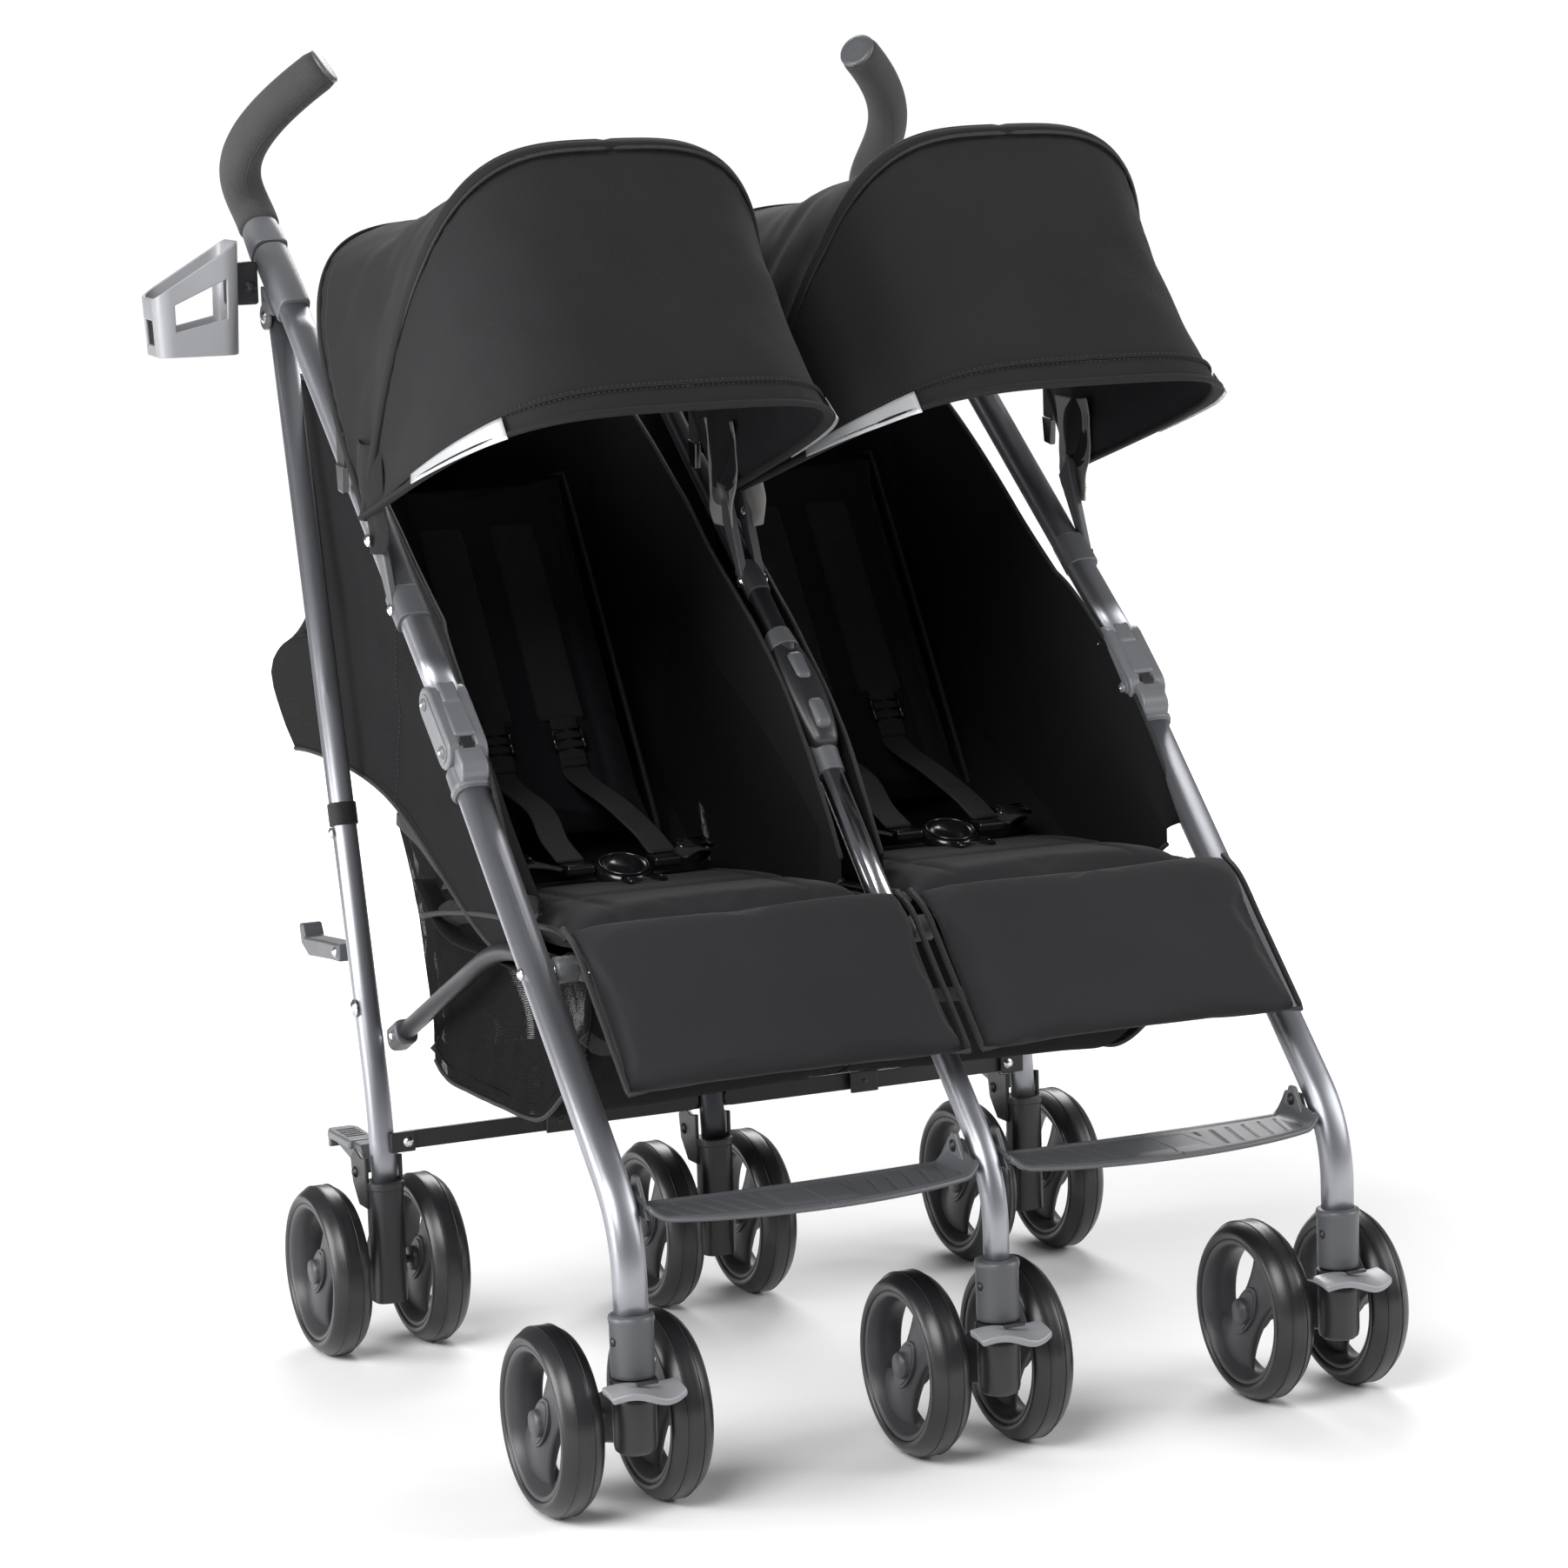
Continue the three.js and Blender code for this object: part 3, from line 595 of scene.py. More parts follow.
def grid(name, point, rows, columns, look, thickness=0.0, flip=False, lining=None):
    """A sheet from point(row share, column share), given cloth thickness."""
    points = [point(r / rows, c / columns) for r in range(rows + 1) for c in range(columns + 1)]
    width = columns + 1
    uvs = []
    for r in range(rows + 1):
        run = 0.0
        for c in range(width):
            k = r * width + c
            if c:
                run += (Vector(points[k]) - Vector(points[k - 1])).length
            fall = uvs[k - width][1] + (Vector(points[k]) - Vector(points[k - width])).length if r else 0.0
            uvs.append((run, fall))
    faces = []
    for r in range(rows):
        for c in range(columns):
            a = r * width + c
            face = (a, a + 1, a + width + 1, a + width)
            faces.append(tuple(reversed(face)) if flip else face)
    obj = make(name, points, faces, look, uvs)
    if thickness:
        if lining:
            obj.data.materials.append(LOOK[lining])
        modify(obj, "SOLIDIFY", thickness=thickness * MM, offset=0, use_even_offset=False,
               material_offset=1 if lining else 0)
    return obj


def patch(obj, rows, columns, chosen, look):
    """Gives part of a grid's faces another look. chosen tests a face by its row and column share."""
    obj.data.materials.append(LOOK[look])
    index = len(obj.data.materials) - 1
    for k, face in enumerate(obj.data.polygons):
        if chosen((k // columns + 0.5) / rows, (k % columns + 0.5) / columns):
            face.material_index = index


def rivet(name, centre, axis, radius, look="steel"):
    """A domed rivet head with a small rim, its flat side at the centre."""
    profile = [(radius, 0), (radius, 0.8), (radius * 0.93, 1.2)]
    profile += [(radius * 0.8 * math.cos(t), 1.2 + radius * 0.35 * math.sin(t)) for t in
                [math.pi / 2 * i / 5 for i in range(6)]]
    return turned(name, profile, centre, axis, look, 24)


def stitches(name, path, length=3.4, gap=1.8, radius=0.45, lift=Vector((0, 0, 0))):
    """A row of short raised threads along a line."""
    points, faces = [], []
    total = sum((b - a).length for a, b in zip(path, path[1:]))
    dense = evenly(path, max(4, int(total / (length + gap)) * 3 + 1))
    for k in range(0, len(dense) - 2, 3):
        start, end = dense[k], dense[k].lerp(dense[k + 2], 0.85)
        along = (end - start).normalized()
        a = along.orthogonal().normalized() * radius
        b = along.cross(a)
        first = len(points)
        for share, size in ((0, 0.3), (0.25, 1), (0.75, 1), (1, 0.3)):
            centre = start.lerp(end, share) + lift
            points += [centre + (a * math.cos(q) + b * math.sin(q)) * size for q in
                       (0, TAU / 4, TAU / 2, 3 * TAU / 4)]
        for r in range(3):
            for i in range(4):
                j = (i + 1) % 4
                ring = first + r * 4
                faces.append((ring + i, ring + j, ring + 4 + j, ring + 4 + i))
        faces += [(first, first + 3, first + 2, first + 1), (first + 12, first + 13, first + 14, first + 15)]
    return make(name, points, faces, "thread")


def puff(obj, voxel, pressure, limit, frames=20):
    """Swells a closed pad with a short cloth simulation, moving no point further than the limit."""
    modify(obj, "REMESH", mode="VOXEL", voxel_size=voxel * MM, adaptivity=0)
    baked(obj)
    obj.data.polygons.foreach_set("use_smooth", [True] * len(obj.data.polygons))
    rest = [v.co.copy() for v in obj.data.vertices]
    cloth = obj.modifiers.new("cloth", "CLOTH")
    cloth.settings.use_pressure = True
    cloth.settings.uniform_pressure_force = pressure
    cloth.settings.effector_weights.gravity = 0
    cloth.settings.quality = 5
    cloth.settings.tension_stiffness = 20
    cloth.settings.compression_stiffness = 8
    cloth.point_cache.frame_start, cloth.point_cache.frame_end = 1, frames
    scene = bpy.context.scene
    for f in range(1, frames + 1):
        scene.frame_set(f)
    baked(obj)
    scene.frame_set(1)
    for vertex, start in zip(obj.data.vertices, rest):
        move = vertex.co - start
        if move.length > limit * MM:
            vertex.co = start + move.normalized() * limit * MM
    obj.data.polygons.foreach_set("use_smooth", [True] * len(obj.data.polygons))
    return obj


# ------------------------------------------------------------------ frame lines
def on_line(origin, slope, along, above, x=0.0):
    """A point along and above a sloping line that starts at origin, in a plane of constant x."""
    return Vector((x, origin.y + along * math.cos(slope) - above * math.sin(slope),
                   origin.z + along * math.sin(slope) + above * math.cos(slope)))


def at_collar(along, above, x):
    return on_line(REAR_PIVOT, UPPER_SLOPE, along, COLLAR_DROP + above, x)


def boxed(origin, slope, run, rise):
    """The four corners, as (y, z), of a block that lies along a sloping line."""
    corners = ((run[0], rise[0]), (run[1], rise[0]), (run[1], rise[1]), (run[0], rise[1]))
    return [on_line(origin, slope, along, above).yz for along, above in corners]


def capsule(origin, slope, run, rise, steps=8):
    """A block along a sloping line with round ends, as (y, z)."""
    radius = (rise[1] - rise[0]) / 2
    middle = (rise[1] + rise[0]) / 2
    points = []
    for centre, start in ((run[1] - radius, -math.pi / 2), (run[0] + radius, math.pi / 2)):
        for i in range(steps + 1):
            angle = start + math.pi * i / steps
            points.append(on_line(origin, slope, centre + radius * math.cos(angle),
                                  middle + radius * math.sin(angle)).yz)
    return points


# Half sizes of the tubes' sections, and heights on the caster's sleeve and the rear housing.
OUTER_LEG, CENTRE_LEG = (13.5, 11.0), (10.0, 10.0)
OUTER_UPPER, CENTRE_UPPER = (13.0, 10.5), (8.5, 8.5)
REAR_TUBE = (11.0, 9.0)
SLEEVE_TOP, SLEEVE_FOOT = 163.0, 120.0
HOUSING_TOP = 154.0


# ------------------------------------------------------------------ front legs, sleeves and knuckles
def front_leg(side, x, inward):
    """A lower frame tube with its caster sleeve. inward points to the centre plane, 0 on the centre leg."""
    size = OUTER_LEG if inward else CENTRE_LEG

    def below_knuckle(*distances):
        return [on_line(KNUCKLE, LEG_SLOPE, -d, LOWER_SHIFT, x) for d in distances]
    socket = on_line(KNUCKLE, LEG_SLOPE, -25, LOWER_SHIFT, x)
    bend = Vector((x, STEM.y + 0.5, STEM.y + 558.5))
    path = bent([(x, STEM.y, SLEEVE_TOP - 8), bend, socket], 46, 16)
    tube = swept("tube", path, oval(*size, power=2.5), "tube")
    collar_ring = oval(size[0] + 2.6, size[1] + 2.6, power=2.6)
    ferrule = soften(swept("ferrule", below_knuckle(46, 36, 20), collar_ring, "grey"), 1.2)
    parts = [tube, ferrule]
    if not inward:
        sheath = oval(size[0] + 0.5, size[1] + 0.5)
        parts.append(swept("bright", below_knuckle(47, 150, 224), sheath, "bright_tube"))
    sleeve = [(13, SLEEVE_FOOT - 1), (16.8, SLEEVE_FOOT), (17.2, SLEEVE_FOOT + 3), (17.4, SLEEVE_TOP - 2),
              (17.9, SLEEVE_TOP), (18.3, SLEEVE_TOP + 2.5), (17.6, SLEEVE_TOP + 5), (15.5, SLEEVE_TOP + 6),
              (11, SLEEVE_TOP + 6)]
    parts.append(turned("sleeve", sleeve, (x, STEM.y, 0), Z, "grey"))
    parts.append(turned("neck", [(9, SLEEVE_FOOT - 14), (9, SLEEVE_FOOT)], (x, STEM.y, 0), Z, "dark"))
    parts.append(rivet("sleeve_rivet", (x - 16.6, STEM.y - 3, SLEEVE_TOP - 14), -X, 3.6, "dark"))
    if inward:
        parts += stop_block(x, "light_grey")
    tongue = capsule(KNUCKLE, LEG_SLOPE, (-30, 15), (-15, 15))
    parts.append(slab("tongue", tongue, x - 5.5, x + 5.5, "x", "dark", 1))
    for s in (1, -1):
        rail_pin = Vector((x + s * size[0], RAIL_PIVOT.y, RAIL_PIVOT.z))
        parts.append(rivet("rail_rivet", rail_pin, X * s, 5, "steel"))
    sides = [inward] if inward else [1, -1]
    parts += [footrest_ear(x, s, size[0]) for s in sides]
    leg = fuse(f"leg_{side}", parts)
    mount(leg, f"frame_{side}", [f"front_leg_{side}"])


def footrest_ear(x, s, half):
    """The tab on a leg that the footrest's upturned end is screwed to."""
    low, high = sorted((x + s * (half - 2), x + s * (half + 3.2)))
    top = cad("footrest_left_outer")[0].z
    ear = [(-304, top - 2), (-272, top - 2), (-272, top + 8), (-282, top + 27), (-290, top + 27)]
    plate = slab("ear", ear, low, high, "x", "grey", 1.2)
    screw = rivet("ear_screw", (x + s * (half + 3), -286, top + 15), X * s, 4.2, "steel")
    return fuse("ear", [plate, screw])


def outer_knuckle(x):
    """Two cheeks with screw bosses, and a barrel, a bridge and a button between them."""
    parts = []
    slope = 0.5 * (LEG_SLOPE + UPPER_SLOPE)
    for s in (1, -1):
        low, high = sorted((x + s * 6.6, x + s * 17.4))
        cheek = capsule(KNUCKLE, slope, (-22, 60), (-14.5, 15.5))
        parts.append(slab("cheek", cheek, low, high, "x", "light_grey", 2.6, 4))
        inset = capsule(KNUCKLE, slope, (-16, 54), (-9, 10))
        low, high = sorted((x + s * 16.6, x + s * 18.3))
        parts.append(slab("cheek_face", inset, low, high, "x", "light_grey", 0.7, 2))
        for along in (-7, 45):
            boss = on_line(KNUCKLE, slope, along, 0.5, x + s * 18)
            parts.append(rivet("boss", boss, X * s, 5.6, "light_grey"))
            parts.append(rivet("screw", boss + X * s * 1.6, X * s, 2.6, "steel"))
    barrel = disc(KNUCKLE.y, KNUCKLE.z, 14.6, 0, TAU, 32)
    parts.append(slab("barrel", barrel, x - 9, x + 9, "x", "light_grey", 1.2, 2))
    bridge = boxed(KNUCKLE, UPPER_SLOPE, (-4, 62), (-13, 17.5))
    parts.append(slab("bridge", bridge, x - 10, x + 10, "x", "light_grey", 3, 4))
    button = capsule(KNUCKLE, UPPER_SLOPE, (30, 58), (8, 19))
    parts.append(slab("button", button, x - 8.5, x + 8.5, "x", "light_grey", 3.5, 4))
    return parts


def stop_block(x, look):
    """The rounded block on the lower leg that closes against the cheeks."""
    nose = capsule(KNUCKLE, LEG_SLOPE, (-42, -3), (-13, 15.5))
    parts = [slab("stop", nose, x - 12.5, x + 12.5, "x", look, 3.2, 4)]
    rim = [on_line(KNUCKLE, LEG_SLOPE, d, LOWER_SHIFT, x) for d in (-44, -38)]
    parts.append(soften(swept("stop_rim", rim, oval(17, 14.5, power=2.8), look), 1.5))
    return parts


def centre_knuckle(x):
    """A slimmer rounded housing with two long oval buttons on its top."""
    slope = 0.5 * (LEG_SLOPE + UPPER_SLOPE)

    def ring_at(t):
        wide = 9.5 + 7.5 * math.sin(math.pi * t) ** 0.6
        return oval(wide, wide * 0.98, 3.2)
    path = [on_line(KNUCKLE, slope, -40 + 118 * i / 20, 0, x) for i in range(21)]
    parts = [swept("housing", path, ring_at, "dark")]
    for along in (-14, 38):
        button = capsule(KNUCKLE, slope, (along - 15, along + 17), (6, 19))
        parts.append(slab("button", button, x - 7.2, x + 7.2, "x", "grey", 5, 5))
    ring = [on_line(KNUCKLE, LEG_SLOPE, d, LOWER_SHIFT, x) for d in (-62, -46, -38)]
    parts.append(soften(swept("ring", ring, lambda t: oval(12.6 + 1.6 * t, 12.6 + 1.6 * t), "grey"), 1))
    cap = [on_line(KNUCKLE, UPPER_SLOPE, d, UPPER_SHIFT * 0.7, x) for d in (66, 86)]
    parts.append(soften(swept("cap", cap, lambda t: oval(13.5 - 2 * t, 13.5 - 2 * t), "grey"), 1))
    return parts


# ------------------------------------------------------------------ upper tubes, collars and grips
def rear_pin_plates(x):
    parts = []
    for s in (1, -1):
        low, high = sorted((x + s * (REAR_TUBE[0] + 0.8), x + s * (REAR_TUBE[0] + 4.6)))
        plate = disc(REAR_PIVOT.y, REAR_PIVOT.z, 12, math.pi * 0.9, math.pi * 2.35, 16)
        plate += [on_line(REAR_PIVOT, UPPER_SLOPE, 22, 17).yz, on_line(REAR_PIVOT, UPPER_SLOPE, -18, 17).yz]
        parts.append(slab("plate", plate, low, high, "x", "light_grey", 1))
        parts.append(rivet("pin", (x + s * (REAR_TUBE[0] + 4.4), REAR_PIVOT.y, REAR_PIVOT.z), X * s, 6))
    return parts


def collar(x, look="light_grey"):
    """Round sleeve under the grip: a square-shouldered lower part, a groove and a plain upper ring."""
    def line(a, b, grow, steps=6):
        path = [at_collar(a + (b - a) * i / steps, 0, x) for i in range(steps + 1)]
        return path, lambda t: oval(grow(t), grow(t), power=2.3 + 1.4 * (1 - t))
    parts = []
    for start, stop, grow in ((-26, 50, lambda t: 14.4 + 1.2 * t), (52, 84, lambda t: 16.2)):
        path, ring = line(start, stop, grow)
        parts.append(soften(swept("collar", path, ring, look), 1.2))
    parts.append(swept("groove", [at_collar(d, 0, x) for d in (49, 53)], oval(14.6, 14.6), "dark"))
    return parts


def upper_tube(side, x, inward):
    size = OUTER_UPPER if inward else CENTRE_UPPER
    top_x = x + inward * TAPER
    start = on_line(KNUCKLE, UPPER_SLOPE, 45, UPPER_SHIFT, x)
    end = at_collar(-20, 0, top_x)
    path = [start.lerp(end, i / 12) for i in range(13)]
    parts = [swept("tube", path, oval(*size, power=2.6), "tube" if inward else "dark_tube")]
    parts += outer_knuckle(x) if inward else centre_knuckle(x)
    for s in ([-inward] if inward else [1, -1]):
        parts += hood_clamp(x, s, size)
    replaced = [f"upper_tube_{side}"]
    parts += collar(top_x) + rear_pin_plates(top_x)
    if inward:
        replaced.append(f"collar_{side}")
    tube = fuse(f"upper_{side}", parts)
    mount(tube, f"upper_{side}", replaced)


def hood_clamp(x, s, size):
    """A moulded clip round the tube with an arm up to the canopy's hub."""
    middle = on_line(KNUCKLE, UPPER_SLOPE, 150, UPPER_SHIFT, x)
    half = (Vector((0, math.cos(UPPER_SLOPE), math.sin(UPPER_SLOPE)))) * 17
    clip_ring = oval(size[0] + 1.6, size[1] + 1.6, 3)
    clip = soften(swept("clip", [middle - half, middle + half], clip_ring, "grey"), 1.2)
    low, high = sorted((x + s * (size[0] - 4), x + s * (size[0] + 3)))
    hub = Vector((0, HOOD_PIVOT.y, HOOD_PIVOT.z))
    across = Vector((0, math.sin(0.9), -math.cos(0.9)))
    arm = [(middle - half * 0.5).yz, (middle + half * 0.6).yz, (hub + across * 11).yz,
           (hub - across * 11 + Z * 3).yz]
    parts = [clip, slab("arm", arm, low, high, "x", "grey", 2)]
    parts.append(rivet("clip_rivet", (x + s * (size[0] + 2.6), middle.y, middle.z), X * s, 5))
    hub_at = (x + s * (size[0] - 1), hub.y, hub.z)
    parts.append(turned("hub", [(11, 0), (11, 5), (9.5, 7), (0, 7.5)], hub_at, X * s, "grey", 32))
    return parts


def grip_path(x, inward, count=48):
    """The grip's middle line: up the tube, back and out, then forward to the tip."""
    start, lead = at_collar(85, 0, x + inward * TAPER), at_collar(144, 0, x + inward * 14)
    third = Vector((x - inward * 47, 476, 1042.5))
    tip = Vector((x + inward * 53.8, 419, 1120.5))
    path = []
    for i in range(count + 1):
        t = i / count
        s = 1 - t
        path.append(start * s ** 3 + lead * 3 * s * s * t + third * 3 * s * t * t + tip * t ** 3)
    return path


def grip(side, x, inward):
    path = grip_path(x, inward)
    radius = 18.6

    def ring(t):
        far = max(0.0, (t - 0.985) / 0.015)
        near = max(0.0, (0.012 - t) / 0.012)
        return oval(radius - 1.6 * far ** 2 - 1.2 * near, radius - 1.6 * far ** 2 - 1.2 * near, count=40)
    foam = swept("foam", path, ring, "foam")
    axis = (path[-1] - path[-2]).normalized()
    cap = turned("cap", [(17.2, -1), (17.4, 0.6), (16.6, 2.0), (13, 2.7), (6, 3.0), (0, 3.1)], path[-1], axis,
                 "grey", 40)
    seam = []
    for before, p, after in zip(path, path[1:], path[2:]):
        seam.append(p - (after - before).normalized().cross(X).normalized() * 18.5)
    lip = cord("seam", seam, 0.45, "foam", 6)
    mount(fuse(f"foam_grip_{side}", [foam, cap, lip]), f"upper_{side}", [f"grip_{side}"])


# ------------------------------------------------------------------ rear legs, housings, pedals
def rear_leg(side, x, inward):
    """A rear tube with its housing and the lugs of the cross links; the outer ones carry a strap band."""
    top_x = x + inward * TAPER
    direction = math.atan2(640.2, 186)
    top = on_line(REAR_PIVOT, direction, 7, 0, top_x)
    path = bent([(x, 234, HOUSING_TOP - 8), (x, 241, 224), top], 34)
    parts = [swept("tube", path, oval(*REAR_TUBE, power=2.5), "tube" if inward else "dark_tube")]
    parts += rear_housing(x)
    sides = [inward] if inward else [1, -1]
    link_z = pivot("rear_link_hinge_left_outer").z
    for s in sides:
        at = rectangle(x + s * 4, x + s * 27, link_z - 9, link_z + 9)
        if s < 0:
            at.reverse()
        y = (225, 230) if inward else (242, 247)
        parts.append(slab("lug", at, *y, "y", "black_steel", 1.2))
        parts.append(rivet("lug_rivet", (x + s * 20, y[0], link_z), -Y, 4.5))
    if inward:
        strap_z = 470
        base = path[-2].lerp(path[-1], (strap_z - path[-2].z) / (path[-1].z - path[-2].z))
        tilt = (path[-1] - path[-2]).normalized() * 10
        band = swept("strap_band", [base - tilt, base + tilt], oval(12.6, 10.6, 2.6), "webbing")
        parts.append(soften(band, 1))
        parts.append(rivet("strap_stud", base + X * (-inward * 12.5) - tilt * 1.6, X * -inward, 5))
        parts.append(rivet("link_bolt", (x - inward * 11, 262, 306), X * -inward, 8, "steel"))
    leg = fuse(f"rear_{side}_leg", parts)
    mount(leg, f"rear_{side}", [f"rear_leg_{side}", f"rear_housing_{side}"])


def rear_housing(x):
    """The sleeve round the leg's end, the axle boss behind it and the pedal's bracket."""
    y = 235.0

    def upright(name, heights, ring, bevel):
        return soften(swept(name, [Vector((x, y, z)) for z in heights], ring, "dark"), bevel)
    body = upright("housing", (48, 60, 110, HOUSING_TOP - 3), oval(15.2, 14.2, 3.0), 1.6)
    lip = upright("lip", (HOUSING_TOP - 5, HOUSING_TOP + 2), oval(16.4, 15.2, 2.8), 1.2)
    tail = [(y, 52), (AXLE.y - 2, 58), *disc(AXLE.y, AXLE.z, 15, -math.pi / 2, math.pi / 2, 10),
            (y + 10, 120), (y, 132)]
    boss = slab("boss", tail, x - 11, x + 11, "x", "dark", 2.5)
    bracket = [(y, 132), (y + 20, 132), (270, 150), (274, 172), (262, 182), (246, 176), (y, 178)]
    cheeks, pins = [], []
    for s in (1, -1):
        low, high = sorted((x + s * 14, x + s * 17.5))
        cheeks.append(slab("cheek", bracket, low, high, "x", "black_steel", 1.2))
        pins.append(rivet("bracket_rivet", (x + s * 17.5, 262, 160), X * s, 5, "black_steel"))
    latch_outline = capsule(Vector((0, y, 120)), math.pi / 2, (-18, 18), (-5, 5))
    latch = slab("latch", latch_outline, x + 14.6, x + 16.1, "x", "dark", 0.7)
    return [body, lip, boss, *cheeks, *pins, axle_rod(x, AXLE.y), latch]


def axle_rod(x, y):
    """The steel axle of a pair of wheels."""
    reach = WHEEL_OFFSET + 15
    return turned("axle", [(4, -reach), (4, reach)], (x, y, AXLE.z), X, "steel", 20)


def brake_pedal(side, x):
    """A ribbed pad with a turned-down back edge, on an arm from the rear housing."""
    low, high = cad(f"brake_pedal_{side}")
    pad_front, back = low.y + 6, high.y
    plan = [(x - 13, pad_front + 26), (x + 13, pad_front + 26), (x + 15, back - 10), (x + 11, back),
            (x - 11, back), (x - 15, back - 10)]
    pad = slab("pad", plan, high.z - 10, high.z - 2, "z", "light_grey", 2.6, 4)
    lip = [(back - 8, high.z - 6), (back, high.z - 6), (back - 1, high.z - 19), (back - 6, high.z - 19)]
    skirt = slab("skirt", lip, x - 12, x + 12, "x", "light_grey", 1.6)
    profile = [(low.y, low.z + 2), (low.y + 16, low.z), (back - 8, high.z - 12), (back - 14, high.z - 3),
               (low.y + 18, high.z - 3)]
    arm = slab("arm", profile, x - 9, x + 9, "x", "grey", 2)
    ribs = []
    for y in range(int(back - 44), int(back - 10), 7):
        across = rectangle(x - 9, x + 9, y, y + 2.2)
        ribs.append(slab("rib", across, high.z - 2.6, high.z - 1.2, "z", "grey", 0.5, 2))
    mount(fuse(f"brake_pad_{side}", [pad, skirt, arm, *ribs]), f"brake_{side}", [f"brake_pedal_{side}"])


def fold_catch():
    """The hooked bar on the left rear leg that holds the stroller folded."""
    low, high = cad("fold_lever")
    x = -TRACK
    hook = [(low.y, high.z - 4), (low.y, high.z - 20), (low.y + 28, low.z + 6), (low.y + 84, low.z),
            (low.y + 103, low.z + 8), (high.y - 1, high.z - 2), (high.y - 9, high.z),
            (high.y - 16, high.z - 12), (low.y + 40, high.z - 7)]
    bar = slab("hook", hook, x - 10, x + 10, "x", "grey", 2.6, 4)
    pin = rivet("hook_pin", (x - 10, low.y + 8, high.z - 12), -X, 4.5)
    mount(fuse("fold_hook", [bar, pin]), "fold_catch", ["fold_lever"])


# ------------------------------------------------------------------ casters and wheels
def caster(side, x):
    """The post under the sleeve, the arm back to the axle, and the axle."""
    z_low, z_high = 60.0, 105.0
    stem = [(0, z_low - 1), (13, z_low - 1), (16, z_low + 1.5), (17, z_low + 6), (17.2, z_high - 5),
            (16.4, z_high), (10, z_high + 1), (0, z_high + 1)]
    post = turned("post", stem, (x, STEM.y, 0), Z, "dark", 48)
    y = -AXLE.y
    arm = [(STEM.y + 4, z_low + 6), (y - 16, 56), *disc(y, AXLE.z, 16, -math.pi / 2, math.pi / 2, 12),
           (y - 24, 101), (STEM.y + 4, z_high - 2)]
    fork = slab("arm", arm, x - 11, x + 11, "x", "dark", 3, 4)
    whole = fuse(f"caster_{side}_fork", [post, fork, axle_rod(x, y)])
    mount(whole, f"caster_{side}", [f"caster_fork_{side}"])


def swivel_lock(side, x):
    """A wide paddle across the front of the caster, its tread dipping towards one end."""
    low, high = cad(f"swivel_lock_{side}")

    def tread(r, c):
        across = -31 + 62 * c
        depth = 32 * (1 - (across / 34) ** 2 * 0.35)
        dip = 4.0 * math.sin(math.pi * 2 * c) * (0.3 + 0.7 * r)
        return Vector((x + across, STEM.y - 11 - depth * r, (low.z + high.z) / 2 + 2 + dip - 4 * r * r))
    top = grid("tread", tread, 8, 24, "pale", thickness=6)
    soften(top, 1.6)
    collar_ring = turned("lock_ring", [(16.9, 104), (18.6, 105), (18.8, 116), (17.5, 118), (12, 118)],
                         (x, STEM.y, 0), Z, "dark", 48)
    slot_outline = rectangle(x - 9, x + 9, STEM.y - 30, STEM.y - 26)
    slot_bar = slab("slot", slot_outline, high.z + 0.5, high.z + 3.2, "z", "dark", 0.8)
    mount(fuse(f"lock_paddle_{side}", [top, collar_ring, slot_bar]), f"lock_{side}", [f"swivel_lock_{side}"])


